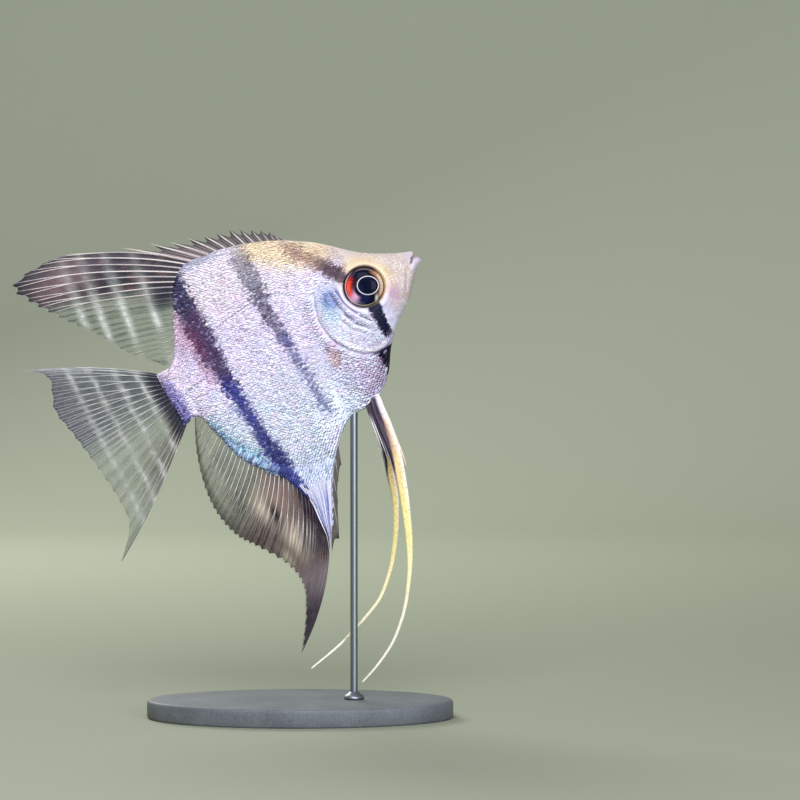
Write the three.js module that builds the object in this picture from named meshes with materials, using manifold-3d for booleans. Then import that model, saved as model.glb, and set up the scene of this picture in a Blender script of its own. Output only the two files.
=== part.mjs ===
// A freshwater angelfish (Pterophyllum scalare) hovering nose-up on a display stand.
// Millimetres, +Z up, nose towards +X, the fish's left side towards +Y.
// The origin is the centre of the stand's underside.
//
// The fish is drawn level, in hundredths of its standard length: x runs from the root of the tail fin (0)
// to the tip of the lower jaw (100), y to its left and z up from the root of the tail fin. It is turned
// nose-up and lifted over the stand as one group.
import * as THREE from "three";
import { mergeVertices } from "three/addons/utils/BufferGeometryUtils.js";
import Module from "manifold-3d";

const wasm = await Module();
wasm.setup();

// ---------------------------------------------------------------- driving dimensions

const STANDARD_LENGTH = 60; // tip of the lower jaw to the root of the tail fin
const UNIT = STANDARD_LENGTH / 100;
const NOSE_UP = THREE.MathUtils.degToRad(28.2);
const TAIL_ROOT = [-27, 0, 70]; // where the root of the tail fin hangs over the stand

const GAP = 0.3; // left between two pieces of the animal
const FIN_THICKNESS = 0.6;
const GILL_COVER_THICKNESS = 0.9;
const WIDER_THAN_FISH = 40; // how far a side-view cutter reaches across the animal
const SHORTEST_EDGE = 0.03;

const STAND = {
  baseLength: 66,
  baseWidth: 38,
  baseHeight: 4,
  edgeRadius: 0.8,
  rodRadius: 0.8,
  rodX: 11.6, // under the belly, between the pelvic and the anal fin
  rodTop: 72.5, // a few millimetres inside the belly
  rodSeat: 2.5, // how deep the rod sits in the base
  collarRadius: 2.2,
  collarHeight: 1.6,
  clearance: 0.05,
};

// ---------------------------------------------------------------- the fish's own outlines, [x, z]

const BACK = [
  [-2.6, 9.2], [2, 8.8], [6.5, 11.8], [13, 23.5], [20, 35], [26, 38.7], [36, 38], [52, 33.6],
  [68, 25], [84, 11.9], [95, 6.1], [98.3, 4.6], [98.9, 2.5], [100.5, 0.7],
];
// The scaly foot of the anal fin hangs below the belly as a lobe, down to x 27.6.
const BELLY = [
  [-2.6, -12.4], [2, -11.2], [5.2, -12.8], [7.5, -21], [10.5, -31], [16, -39], [21.5, -45.8],
  [25, -56], [27.6, -67.5], [29.5, -65], [34, -56.5], [41.5, -45.8], [49, -39], [53, -37.2],
  [60, -37.3], [65, -35], [71, -30], [76.5, -22], [84, -14.4], [90, -10.3], [95, -4.6],
  [98.5, -1.7], [100.5, -0.3],
];
// Half of the body's thickness at its thickest level.
const HALF_WIDTH = [
  [-2.6, 1.3], [1, 2.1], [6, 2.9], [14, 4], [26, 5.9], [40, 7.6], [52, 8.5], [62, 8.8],
  [72, 8.5], [80, 7.5], [87, 5.9], [93, 4.2], [97, 2.9], [99, 1.7], [100.5, 0.7],
];
const MUSCLE = { lowestX: 34, lowestZ: -47.5, rise: 0.038 }; // the belly's flesh rises towards the tail
const SHEATH = { atFlesh: 1.6, atTip: 0.6, length: 20, edge: 1.4, least: 0.28 };

const EYE = { x: 77.6, z: 1.1, radius: 7.3, halfDepth: 3.6, sunk: 1.9 };

// The rear edge of the gill cover, which also parts the head from the trunk.
const GILL_EDGE = [
  [60, 8.5], [57.6, 1], [57.6, -6], [59.2, -11], [62.4, -15.8], [66.4, -19.6], [70.4, -21.4], [75, -21.2],
];
const CHEEK_EDGE = [[73, -14], [70, -8], [68, -2], [67.6, 4], [65, 8]];
const JAW = [[94.6, -0.2], [102, 4.4], [103, -6], [90.5, -14], [91.5, -6]];
const STALK_FRONT = 5;

// ---------------------------------------------------------------- the fins' rays
// Each fin is a fan of rays. Its foot and its margin are smooth curves through the same number of points,
// and one ray runs from each place on the foot to its place on the margin. A bow bends a ray sideways, as a
// share of its length, and the sway carries the fin's tip off the middle plane.

const DORSAL = {
  spines: 13,
  spineFeet: [[59, 30], [52, 33], [39.5, 36.8], [30, 38.2]],
  spineTips: [[58.8, 32.6], [57, 34.9], [51.7, 38.8], [44.8, 42.6], [35.5, 45.2], [24.1, 48.3], [8, 54.7]],
  notch: 0.42, // how far the web drops between two spines
  rays: 17,
  steps: 6,
  feet: [
    [29, 37.5], [26, 37], [23.2, 36], [20.5, 34], [18.3, 31], [16, 27.5], [13.3, 22.5], [10, 16], [5.5, 9.5],
  ],
  tips: [
    [-13, 62.6], [-24.5, 63.2], [-33.8, 60.9], [-30.7, 53.4], [-26.3, 46.8], [-21, 39.5], [-14, 30.5],
    [-8, 20.5], [1, 11],
  ],
  bow: [0.115, 0],
  sway: 4,
};
const ANAL = {
  spines: 5,
  spineFeet: [[44, -42], [41, -44], [37, -46], [35, -46.5]],
  spineTips: [[42, -47.4], [40.4, -51.3], [36.8, -55.6], [33.1, -62.4], [26.8, -74.6]],
  notch: 0.07,
  rays: 19,
  steps: 7,
  feet: [
    [34, -46.5], [31, -46.3], [28, -45.5], [24.5, -43.5], [20.5, -40], [16.5, -35.5], [13, -29.5],
    [10.3, -22.5], [8, -15.5], [4.5, -10],
  ],
  tips: [
    [-4.3, -104.2], [3.5, -92.5], [7.4, -84], [6.5, -74.5], [0, -63.5], [-5, -56], [-7.4, -46.4],
    [-7, -36], [-3.6, -23], [1.7, -11.6],
  ],
  bow: [-0.19, -0.02],
  sway: 5,
};
const TAIL = {
  rays: 17,
  steps: 6,
  feet: [[-1.6, 8.4], [-0.6, 3.5], [-0.4, -1.7], [-0.6, -6.9], [-1.6, -12]],
  tips: [
    [-43.5, 32.5], [-37, 26], [-40.5, 15], [-39, 5], [-37.6, -4], [-36.3, -14], [-35.5, -24],
    [-36.5, -34], [-45, -44.2],
  ],
  bow: [0.07, -0.05],
  sway: -3,
};
const PECTORAL = {
  rays: 9,
  feet: [[56.8, -10.5], [56.4, -14], [55.4, -17.5]],
  reach: 21,
  fan: [-24, 52], // degrees from straight back: above and below
  splay: 0.3, // how far it stands off the flank for each step back
  rootSunk: 0.9,
};
// The pelvic fin: a spine with two long rays, drawn out into a feeler. [x, y, z, width] at places along it.
const PELVIC = {
  near: [
    [62.6, 1.6, -34, 4.6], [61, 3.4, -46, 6], [59, 5, -57.8, 6.2], [55, 6.4, -71.8, 3.4], [47.6, 6.8, -90.2, 1.9],
    [37.6, 6.2, -105.5, 1.1], [26, 5.2, -116, 0.95], [10.5, 4, -123, 0.85],
  ],
  far: [
    [62.2, 1.6, -34, 4.6], [59.6, 3.6, -47, 5.4], [55.4, 5.6, -59, 4.6], [50.4, 7, -73.6, 2.7],
    [42.4, 7.4, -87.4, 1.7], [30.5, 6.8, -99.7, 1.1], [15.4, 5.8, -106.1, 0.95], [-3.9, 4.8, -110.8, 0.85],
  ],
  thickness: 1,
  stations: 26,
  sides: 8,
};

// ---------------------------------------------------------------- small helpers

const mix = (a, b, share) => a + (b - a) * share;
const clamp01 = (value) => Math.min(1, Math.max(0, value));

// A height for each x through the points of an outline, with no overshoot between them.
function outline(points) {
  const steps = points.slice(1).map(([x, z], i) => (z - points[i][1]) / (x - points[i][0]));
  const slopes = points.map((_, i) => {
    const [before, after] = [steps[i - 1] ?? steps[i], steps[i] ?? steps[i - 1]];
    return before * after <= 0 ? 0 : (2 * before * after) / (before + after);
  });
  return (x) => {
    let i = points.findIndex(([right]) => x < right) - 1;
    if (i < 0) i = x < points[0][0] ? 0 : points.length - 2;
    const [[x0, z0], [x1, z1]] = [points[i], points[i + 1]];
    const [run, t] = [x1 - x0, clamp01((x - x0) / (x1 - x0))];
    return (
      z0 * (1 + 2 * t) * (1 - t) ** 2 + z1 * t * t * (3 - 2 * t) +
      run * (slopes[i] * t * (1 - t) ** 2 + slopes[i + 1] * t * t * (t - 1))
    );
  };
}

// A smooth curve through points that are evenly spread in its parameter.
const curve = (points) => new THREE.SplineCurve(points.map(([x, z]) => new THREE.Vector2(x, z)));

// Closes a row of sections into one skin. A section has a left and a right rail of as many points.
function loft(sections) {
  const rings = sections.map(({ left, right }) => [...left, ...right.toReversed()]);
  const count = rings[0].length;
  const index = [];
  rings.slice(1).forEach((_, i) => {
    for (let j = 0; j < count; j++) {
      const [a, b] = [i * count + j, i * count + ((j + 1) % count)];
      index.push(a, a + count, b, b, a + count, b + count);
    }
  });
  for (let j = 0; j < count / 2 - 1; j++) {
    const [a, b, c, d] = [j, j + 1, count - 2 - j, count - 1 - j];
    const last = (rings.length - 1) * count;
    index.push(a, b, c, a, c, d, last + a, last + c, last + b, last + a, last + d, last + c);
  }
  const places = rings.flat().flatMap((p) => [p.x * UNIT, p.y * UNIT, p.z * UNIT]);
  return new THREE.BufferGeometry()
    .setAttribute("position", new THREE.Float32BufferAttribute(places, 3))
    .setIndex(index);
}

// A fan of rays may run either way round the fish, so a skin that comes out inside out is turned.
function solid(geometry) {
  const bare = geometry.clone();
  bare.deleteAttribute("normal");
  bare.deleteAttribute("uv");
  const merged = mergeVertices(bare, 1e-4);
  const vertProperties = merged.attributes.position.array;
  const triVerts = new Uint32Array(merged.index.array);
  const made = () => new wasm.Manifold(new wasm.Mesh({ numProp: 3, vertProperties, triVerts }));
  return made().volume() > 0 ? made() : (triVerts.reverse(), made());
}

// Edges shorter than the finish of the model are closed up.
function geometryOf(body) {
  const { vertProperties, triVerts, numProp, numVert } = body.simplify(SHORTEST_EDGE).getMesh();
  const places = new Float32Array(numVert * 3);
  for (let i = 0; i < numVert; i++) places.set(vertProperties.subarray(i * numProp, i * numProp + 3), i * 3);
  return new THREE.BufferGeometry()
    .setAttribute("position", new THREE.BufferAttribute(places, 3))
    .setIndex(new THREE.BufferAttribute(triVerts, 1));
}

// A side-view outline pushed right across the animal, moved by a shift in millimetres.
function prism(points, shift = [0, 0]) {
  const shape = new THREE.Shape(points.map(([x, z]) => new THREE.Vector2(x * UNIT + shift[0], z * UNIT + shift[1])));
  const pushed = new THREE.ExtrudeGeometry(shape, { depth: WIDER_THAN_FISH, bevelEnabled: false });
  pushed.rotateX(Math.PI / 2).translate(0, WIDER_THAN_FISH / 2, 0);
  return solid(pushed);
}

// ---------------------------------------------------------------- the body

const back = outline(BACK);
const belly = outline(BELLY);
const halfWidth = outline(HALF_WIDTH);
const muscleFloor = (x) => Math.max(belly(x), MUSCLE.lowestZ + MUSCLE.rise * Math.min(0, x - MUSCLE.lowestX) ** 2);
const thickestLevel = (x) => mix(-1.5, 0.2, clamp01((x - 85) / 15));

// Half of the body's thickness at one place of its side view.
function halfThickness(x, z) {
  const level = thickestLevel(x);
  const floor = muscleFloor(x);
  const up = z > level;
  const share = clamp01(up ? (z - level) / (back(x) - level) : (level - z) / (level - floor));
  const flesh = halfWidth(x) * (up ? (1 - share ** 2) ** 0.78 : (1 - share ** 2.4) ** 0.6);
  const toEdge = Math.min(back(x) - z, z - belly(x));
  const rounding = Math.sqrt(clamp01(toEdge / SHEATH.edge));
  const taper = mix(SHEATH.atFlesh, SHEATH.atTip, clamp01((floor - z) / SHEATH.length));
  const sheath = Math.max(SHEATH.least, Math.min(taper, halfWidth(x)) * rounding);
  return Math.cbrt(flesh ** 3 + sheath ** 3);
}

// Stations lie close where the outline is steep: at the tail, over the lobe and at the mouth.
function bodyStations() {
  const stretches = [[-2.6, 4, 1.65], [4, 30, 1.3], [30, 42, 2], [42, 90, 3], [90, 97.5, 1.5], [97.5, 100.5, 0.5]];
  const places = stretches.flatMap(([from, to, step]) => {
    const count = Math.round((to - from) / step);
    return Array.from({ length: count }, (_, i) => mix(from, to, i / count));
  });
  return [...places, 100.5];
}

// The whole body, thicker all over by grow millimetres.
function bodySolid(grow = 0) {
  const more = grow / UNIT;
  const rows = 15;
  const stations = bodyStations();
  const sections = stations.map((x, i) => {
    const out = i === 0 ? -more : i === stations.length - 1 ? more : 0;
    const [top, bottom] = [back(x), belly(x)];
    const rail = (side) =>
      Array.from({ length: rows }, (_, j) => {
        const swing = Math.cos((Math.PI * j) / (rows - 1));
        const z = mix(bottom, top, (1 + swing) / 2);
        const y = Math.max(0.05, halfThickness(x, z) + more);
        return new THREE.Vector3(x + out, side * y, z + swing * more);
      });
    return { left: rail(1), right: rail(-1) };
  });
  return solid(loft(sections));
}

// ---------------------------------------------------------------- fins

// One ray as a bowed line from foot to tip, as [x, z] at even steps.
function bowedRay(foot, tip, bow, steps) {
  const across = new THREE.Vector2(tip.y - foot.y, foot.x - tip.x).multiplyScalar(bow);
  const middle = foot.clone().add(tip).multiplyScalar(0.5).add(across);
  const line = new THREE.QuadraticBezierCurve(foot, middle, tip);
  return line.getPoints(steps);
}

// A plate whose sections are rays.
function finPlate(rays, { sway = 0, lean = () => 0 }) {
  const half = FIN_THICKNESS / 2 / UNIT;
  const sections = rays.map((points) => {
    const rail = (side) =>
      points.map((p, i) => {
        const off = lean(p) + sway * (i / (points.length - 1)) ** 2;
        return new THREE.Vector3(p.x, off + side * half, p.y);
      });
    return { left: rail(1), right: rail(-1) };
  });
  return sections;
}

function softRays(fin) {
  const [feet, tips] = [curve(fin.feet), curve(fin.tips)];
  return Array.from({ length: fin.rays }, (_, i) => {
    const t = i / (fin.rays - 1);
    return bowedRay(feet.getPoint(t), tips.getPoint(t), mix(...fin.bow, t), fin.steps);
  });
}

// Spines stand out of the web, whose edge drops between each two.
function spineRays(fin) {
  const [feet, tips] = [curve(fin.spineFeet), curve(fin.spineTips)];
  const count = 2 * fin.spines - 1;
  return Array.from({ length: count }, (_, i) => {
    const t = i / (count - 1);
    const foot = feet.getPoint(t);
    const tip = tips.getPoint(t);
    if (i % 2) tip.lerp(foot, fin.notch);
    return bowedRay(foot, tip, 0, fin.steps);
  });
}

const allRays = (fin) => [...(fin.spines ? spineRays(fin) : []), ...softRays(fin)];

function pectoralSections(side) {
  const feet = curve(PECTORAL.feet);
  const root = PECTORAL.feet[1];
  const rootY = halfThickness(...root) - PECTORAL.rootSunk;
  const rays = Array.from({ length: PECTORAL.rays }, (_, i) => {
    const t = i / (PECTORAL.rays - 1);
    const angle = THREE.MathUtils.degToRad(mix(...PECTORAL.fan, t));
    const reach = PECTORAL.reach * (1 - 1.3 * (t - 0.4) ** 2);
    const foot = feet.getPoint(t);
    const tip = new THREE.Vector2(foot.x - reach * Math.cos(angle), foot.y - reach * Math.sin(angle));
    return bowedRay(foot, tip, 0, 5);
  });
  const lean = (p) => side * (rootY + PECTORAL.splay * (root[0] - p.x));
  return finPlate(rays, { lean });
}

// A feeler: oval sections along a smooth line, wide in side view and thin across.
function pelvicSections(places, side) {
  const line = new THREE.CatmullRomCurve3(places.map(([x, y, z]) => new THREE.Vector3(x, y * side, z)));
  const width = outline(places.map(([, , , w], i) => [i / (places.length - 1), w]));
  const arc = Math.PI / (PELVIC.sides - 1);
  return Array.from({ length: PELVIC.stations }, (_, i) => {
    const t = i / (PELVIC.stations - 1);
    const centre = line.getPoint(t);
    const forward = line.getTangent(t);
    const wide = new THREE.Vector3(-forward.z, 0, forward.x).normalize();
    const thin = Math.min(PELVIC.thickness / UNIT, Math.max(0.85, width(t) * 0.5)) / 2;
    const rail = (hand) =>
      Array.from({ length: PELVIC.sides / 2 }, (_, j) => {
        const turn = Math.PI * ((j + 0.5) / (PELVIC.sides / 2));
        return centre
          .clone()
          .addScaledVector(wide, (Math.cos(turn) * width(t)) / 2)
          .add(new THREE.Vector3(0, hand * Math.sin(turn) * thin, 0));
      });
    return { left: rail(1), right: rail(-1) };
  });
}

// ---------------------------------------------------------------- the stand

function standBase(hole) {
  const { baseLength, baseWidth, baseHeight, edgeRadius } = STAND;
  const [half, side] = [baseLength / 2, baseWidth / 2];
  const profile = [
    [0, 0], [half, 0], [half, baseHeight - edgeRadius], [half - edgeRadius * 0.3, baseHeight - edgeRadius * 0.3],
    [half - edgeRadius, baseHeight], [0, baseHeight],
  ];
  const round = new THREE.LatheGeometry(profile.map(([r, z]) => new THREE.Vector2(r, z)), 48);
  round.rotateX(Math.PI / 2).scale(1, side / half, 1);
  return solid(round).subtract(hole);
}

function uprightCylinder(radius, from, to) {
  const made = new THREE.CylinderGeometry(radius, radius, to - from, 24);
  made.rotateX(Math.PI / 2).translate(STAND.rodX, 0, (from + to) / 2);
  return made;
}

function standCollar() {
  const { collarRadius, collarHeight, rodRadius, clearance, baseHeight, rodX } = STAND;
  const [inner, foot] = [rodRadius + clearance, baseHeight + clearance];
  const profile = [
    [inner, foot], [collarRadius, foot], [collarRadius, foot + collarHeight * 0.5],
    [inner + 0.5, foot + collarHeight], [inner, foot + collarHeight], [inner, foot],
  ];
  const ring = new THREE.LatheGeometry(profile.map(([r, z]) => new THREE.Vector2(r, z)), 24);
  return ring.rotateX(Math.PI / 2).translate(rodX, 0, 0);
}

// ---------------------------------------------------------------- putting it together

const finishes = {
  skin: new THREE.MeshStandardMaterial({ color: 0xc9c4d8, roughness: 0.35, metalness: 0.3 }),
  fin: new THREE.MeshStandardMaterial({ color: 0x6d6a70, roughness: 0.45, metalness: 0 }),
  feeler: new THREE.MeshStandardMaterial({ color: 0xe2cf8e, roughness: 0.45, metalness: 0 }),
  eye: new THREE.MeshStandardMaterial({ color: 0x14161f, roughness: 0.1, metalness: 0 }),
  base: new THREE.MeshStandardMaterial({ color: 0x8b8f8c, roughness: 0.5, metalness: 0 }),
  rod: new THREE.MeshStandardMaterial({ color: 0xb9bcc0, roughness: 0.25, metalness: 1 }),
};

const fish = new THREE.Group();
fish.position.set(...TAIL_ROOT);
fish.rotation.y = -NOSE_UP;
fish.updateMatrix();

const angelfish = new THREE.Group();
angelfish.add(fish);

function place(group, name, shape, finish) {
  const mesh = new THREE.Mesh(shape.isBufferGeometry ? shape : geometryOf(shape), finish);
  mesh.name = name;
  group.add(mesh);
}

const SIDES = [["left", 1], ["right", -1]];
const body = bodySolid();
const clearOfBody = bodySolid(GAP);

// The stand's rod goes up into a socket in the belly.
const rod = uprightCylinder(STAND.rodRadius, STAND.baseHeight - STAND.rodSeat, STAND.rodTop);
const socketTop = STAND.rodTop + GAP;
const socket = uprightCylinder(STAND.rodRadius + GAP, STAND.baseHeight, socketTop);
socket.applyMatrix4(fish.matrix.clone().invert());

// The head lies ahead of the gill cover's rear edge.
const headOutline = [[55, 60], ...GILL_EDGE, [78, -40], [110, -40], [110, 60]];
const aheadOfGills = prism(headOutline);
const behindGap = prism(headOutline, [-GAP, -GAP]);
const stalkOutline = [[-10, -30], [STALK_FRONT, -30], [STALK_FRONT, 30], [-10, 30]];
const trunk = body
  .subtract(behindGap)
  .subtract(prism(stalkOutline, [GAP, 0]))
  .subtract(solid(socket));
place(fish, "trunk", trunk, finishes.skin);
place(fish, "tail_stalk", body.intersect(prism(stalkOutline)), finishes.skin);

// Eyes: flattened balls, each in a socket of the head.
const eyeCentreY = halfThickness(EYE.x, EYE.z) - EYE.sunk;
const eyeBall = (side, grow) => {
  const ball = new THREE.SphereGeometry(1, 18, 10).rotateX(Math.PI / 2);
  ball.scale(EYE.radius * UNIT + grow, EYE.halfDepth * UNIT + grow, EYE.radius * UNIT + grow);
  return solid(ball.translate(EYE.x * UNIT, side * eyeCentreY * UNIT, EYE.z * UNIT));
};
const wholeHead = body.intersect(aheadOfGills);
const gillOutline = [...GILL_EDGE, ...CHEEK_EDGE];
const underCovers = bodySolid(-GILL_COVER_THICKNESS - GAP);
const pocketPrisms = [-GAP, 0, GAP].map((shift) => prism(gillOutline, [shift, shift]));
const gillPocket = wasm.Manifold.union(pocketPrisms).subtract(underCovers);
let head = wholeHead.subtract(gillPocket).subtract(prism(JAW, [-GAP, GAP]));
for (const [, side] of SIDES) head = head.subtract(eyeBall(side, GAP));
place(fish, "head", head, finishes.skin);
place(fish, "lower_jaw", wholeHead.intersect(prism(JAW)), finishes.skin);
for (const [name, side] of SIDES) place(fish, "eye_" + name, eyeBall(side, 0), finishes.eye);

// Gill covers: the outer shell behind each cheek, clear of the eye.
const covers = body.intersect(prism(gillOutline)).subtract(bodySolid(-GILL_COVER_THICKNESS));
for (const [name, side] of SIDES) {
  const half = covers.decompose().find((piece) => Math.sign(piece.boundingBox().max[1] + piece.boundingBox().min[1]) === side);
  place(fish, "gill_cover_" + name, half.subtract(eyeBall(side, GAP)), finishes.skin);
}

// Unpaired fins, each cut clear of the body it grows from.
const unpaired = [["dorsal_fin", DORSAL], ["anal_fin", ANAL], ["tail_fin", TAIL]];
for (const [name, fin] of unpaired) {
  const plate = solid(loft(finPlate(allRays(fin), fin)));
  place(fish, name, plate.subtract(clearOfBody), finishes.fin);
}

for (const [name, side] of SIDES) {
  const pectoral = solid(loft(pectoralSections(side))).subtract(clearOfBody);
  place(fish, "pectoral_fin_" + name, pectoral, finishes.fin);
  const feeler = solid(loft(pelvicSections(side > 0 ? PELVIC.far : PELVIC.near, side))).subtract(clearOfBody);
  place(fish, "pelvic_fin_" + name, feeler, finishes.feeler);
}

// The stand.
const hole = uprightCylinder(STAND.rodRadius + STAND.clearance, STAND.baseHeight - STAND.rodSeat - STAND.clearance, 20);
place(angelfish, "stand_base", standBase(solid(hole)), finishes.base);
place(angelfish, "stand_rod", rod, finishes.rod);
place(angelfish, "stand_collar", standCollar(), finishes.rod);

export default angelfish;
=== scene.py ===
# %% [markdown]
# # A freshwater angelfish on its stand
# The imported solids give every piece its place: the body, the eyes, the fins and the stand. Here the plain
# flesh is covered with one skin, the skin with scales, and each fin plate becomes a thin clear web held open
# by its rays. Everything stands in metres, in the frame of the solids, and nothing is moved afterwards.

# %% Load the frame
import math

import bpy
import numpy as np
from mathutils import Matrix, Vector


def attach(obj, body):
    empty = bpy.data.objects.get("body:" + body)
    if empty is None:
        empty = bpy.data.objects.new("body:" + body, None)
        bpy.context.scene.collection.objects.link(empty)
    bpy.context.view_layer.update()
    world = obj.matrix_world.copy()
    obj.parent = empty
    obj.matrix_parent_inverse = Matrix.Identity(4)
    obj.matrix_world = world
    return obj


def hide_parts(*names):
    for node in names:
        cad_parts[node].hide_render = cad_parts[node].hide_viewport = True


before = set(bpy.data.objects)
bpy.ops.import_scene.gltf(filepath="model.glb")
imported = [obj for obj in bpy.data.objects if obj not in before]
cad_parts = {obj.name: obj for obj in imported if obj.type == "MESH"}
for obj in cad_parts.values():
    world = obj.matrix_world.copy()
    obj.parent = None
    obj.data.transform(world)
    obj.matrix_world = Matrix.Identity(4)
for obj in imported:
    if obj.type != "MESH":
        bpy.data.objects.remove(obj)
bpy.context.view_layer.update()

# %% [markdown]
# ## The fish's own frame
# The fish is drawn level, in hundredths of its standard length: x runs forward from the root of the tail
# fin (0) to the tip of the lower jaw (100), y to its left and z up. One function turns it nose-up and sets
# it over the stand, so every shape below can be written in round numbers that compare with the body.

# %% From fish units to metres
UNIT = 0.0006
MM = 0.001
NOSE_UP = math.radians(28.2)
COS_UP, SIN_UP = math.cos(NOSE_UP), math.sin(NOSE_UP)
TAIL_ROOT = np.array([-0.027, 0.0, 0.070])
SIDES = [("right", -1), ("left", 1)]


def to_world(points):
    x, y, z = np.moveaxis(np.asarray(points, float), -1, 0)
    return TAIL_ROOT + UNIT * np.stack([x * COS_UP - z * SIN_UP, y, x * SIN_UP + z * COS_UP], -1)


def smooth_curve(points):
    """A curve through (position, value) points that never overshoots between them."""
    xs, ys = np.array(points, float).T
    step = np.diff(ys) / np.diff(xs)
    slope = np.concatenate([step[:1], np.zeros(len(xs) - 2), step[-1:]])
    before, after = step[:-1], step[1:]
    level = before * after <= 0
    slope[1:-1] = np.where(level, 0, 2 * before * after / np.where(level, 1, before + after))

    def at(x):
        x = np.asarray(x, float)
        i = np.clip(np.searchsorted(xs, x, side="right") - 1, 0, len(xs) - 2)
        run = xs[i + 1] - xs[i]
        t = np.clip((x - xs[i]) / run, 0, 1)
        ends = ys[i] * (1 + 2 * t) * (1 - t) ** 2 + ys[i + 1] * t * t * (3 - 2 * t)
        return ends + run * (slope[i] * t * (1 - t) ** 2 + slope[i + 1] * t * t * (t - 1))

    return at


def ramp(value, low, high):
    """0 below low, 1 above high, and smooth between them; it falls instead if low is the larger."""
    t = np.clip((value - low) / (high - low), 0, 1)
    return t * t * (3 - 2 * t)


def bell(value, middle, width):
    """1 at the middle, fading to nothing over about twice the width."""
    return np.exp(-(((value - middle) / width) ** 2))


def near(path, x, z):
    """How far each place of the side view is from a path, how far along it, and on which side (+ left)."""
    best = np.full(np.shape(x), 1e9)
    along, side = np.zeros(np.shape(x)), np.zeros(np.shape(x))
    for i, (a, d) in enumerate(zip(path[:-1], np.diff(path, axis=0))):
        dx, dz = x - a[0], z - a[1]
        t = np.clip((dx * d[0] + dz * d[1]) / (d @ d), 0, 1)
        gap = np.hypot(dx - t * d[0], dz - t * d[1])
        closer = gap < best
        best = np.where(closer, gap, best)
        along = np.where(closer, (i + t) / (len(path) - 1), along)
        side = np.where(closer, np.sign(d[0] * dz - d[1] * dx), side)
    return best, along, side


print("one fish unit is", UNIT / MM, "mm")

# %% [markdown]
# ## The outline of the body
# An angelfish is a disc: tall, and thin as a hand. Two curves give its back and its belly, and a third its
# thickness. The thickness at any place of the side view then follows from one formula, flesh that thins
# towards the edges plus a sheath of skin round them, so details can be added as small steps in thickness.

# %% Outline curves
BACK = smooth_curve([
    (-5.6, 10.6), (-2.6, 9.2), (2, 8.8), (6.5, 11.8), (13, 23.5), (20, 35), (26, 38.7), (36, 38), (52, 33.6),
    (68, 25), (84, 11.9), (95, 6.1), (97.6, 5.0), (98.4, 4.5), (98.75, 3.6), (99.0, 2.8), (99.3, 2.35),
    (99.9, 1.95), (100.5, 0.8)])
BELLY = smooth_curve([
    (-5.6, -14.2), (-2.6, -12.4), (2, -11.2), (5.2, -12.8), (7.5, -21), (10.5, -31), (16, -39), (21.5, -45.8),
    (25, -56), (27.6, -67.5), (29.5, -65), (34, -56.5), (41.5, -45.8), (49, -39), (53, -37.2), (60, -37.3),
    (65, -35), (71, -30), (76.5, -22), (84, -14.4), (90, -10.3), (95, -4.6), (98.5, -1.4), (99.9, -0.7),
    (100.5, -0.1)])
HALF_WIDTH = smooth_curve([
    (-5.6, 0.2), (-2.6, 0.45), (-1.8, 1.1), (1, 2.1), (6, 2.9), (14, 4), (26, 5.9), (40, 7.6), (52, 8.5),
    (62, 8.8), (72, 8.5), (80, 7.5), (87, 5.9), (93, 4.2), (97, 2.9), (99, 2.0), (100.1, 1.2), (100.5, 0.4)])


def flesh_floor(x):
    return np.maximum(BELLY(x), -47.5 + 0.038 * np.minimum(0, x - 34) ** 2)


def plain_thickness(x, z):
    """Half of the body's thickness, with no detail."""
    level = -1.5 + 1.7 * np.clip((x - 85) / 15, 0, 1)
    back, belly, floor = BACK(x), BELLY(x), flesh_floor(x)
    share = np.clip(np.where(z > level, (z - level) / (back - level), (level - z) / (level - floor)), 0, 1)
    profile = np.where(z > level, (1 - share**2) ** 0.78, (1 - share**2.4) ** 0.6)
    rounding = np.sqrt(np.clip(np.minimum(back - z, z - belly) / 1.4, 0, 1))
    taper = 1.6 - np.clip((floor - z) / 20, 0, 1)
    sheath = np.minimum(taper, HALF_WIDTH(x)) * rounding
    return np.cbrt((HALF_WIDTH(x) * profile) ** 3 + sheath**3)


print("thickest:", round(float(2 * plain_thickness(np.array(62.0), np.array(-1.5)) * UNIT / MM), 1), "mm")

# %% [markdown]
# ## What the skin shows
# The head carries most of the detail: lips round a short oblique mouth, the folds behind the jaw and below
# the eye, the nostril, small pores, and the gill cover with its raised rim. Each is a path in the side view
# and a height across it, so a fold can be made deeper or moved without touching the mesh.

# %% Paths of the head
EYE = dict(x=78.0, z=1.4, rim=7.3, sunk=1.9, depth=3.6)
GILL_EDGE = [(62, 9.2), (59.8, 4), (58.6, -1.5), (58.7, -7), (60.2, -11.3), (63.2, -15.8), (66.9, -19.4),
             (70.6, -21), (74, -21.2), (76.4, -20.2)]
CHEEK_EDGE = [(66.3, 7), (66.8, 1), (68, -4.5), (70.3, -9.5), (73.6, -13.6), (77.5, -15.6)]
ORBIT_FOLDS = [[(68.3, 5), (68.9, 0.2), (70.3, -3.7), (72.2, -7.4), (74.4, -10.2)],
               [(67.2, -4), (69.2, -8.8), (72, -11.6)]]
MOUTH = [(99.6, 2.7), (98.4, 2.3), (97.4, 1.7), (96.6, 1.0)]
UPPER_LIP = [(99.2, 3.8), (97.8, 3.2), (96.4, 2.1), (95.4, 0.9)]
LOWER_LIP = [(100.2, 1.1), (98.9, 0.9), (97.5, 0.1), (96.2, -1.2)]
JAW_FOLD = [(95.2, 1.6), (93.6, -1.4), (91.6, -5.2), (90.2, -7.4)]
SNOUT_FOLD = [(96.4, 4.3), (94.6, 2.6), (93.4, 0.2)]
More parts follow.
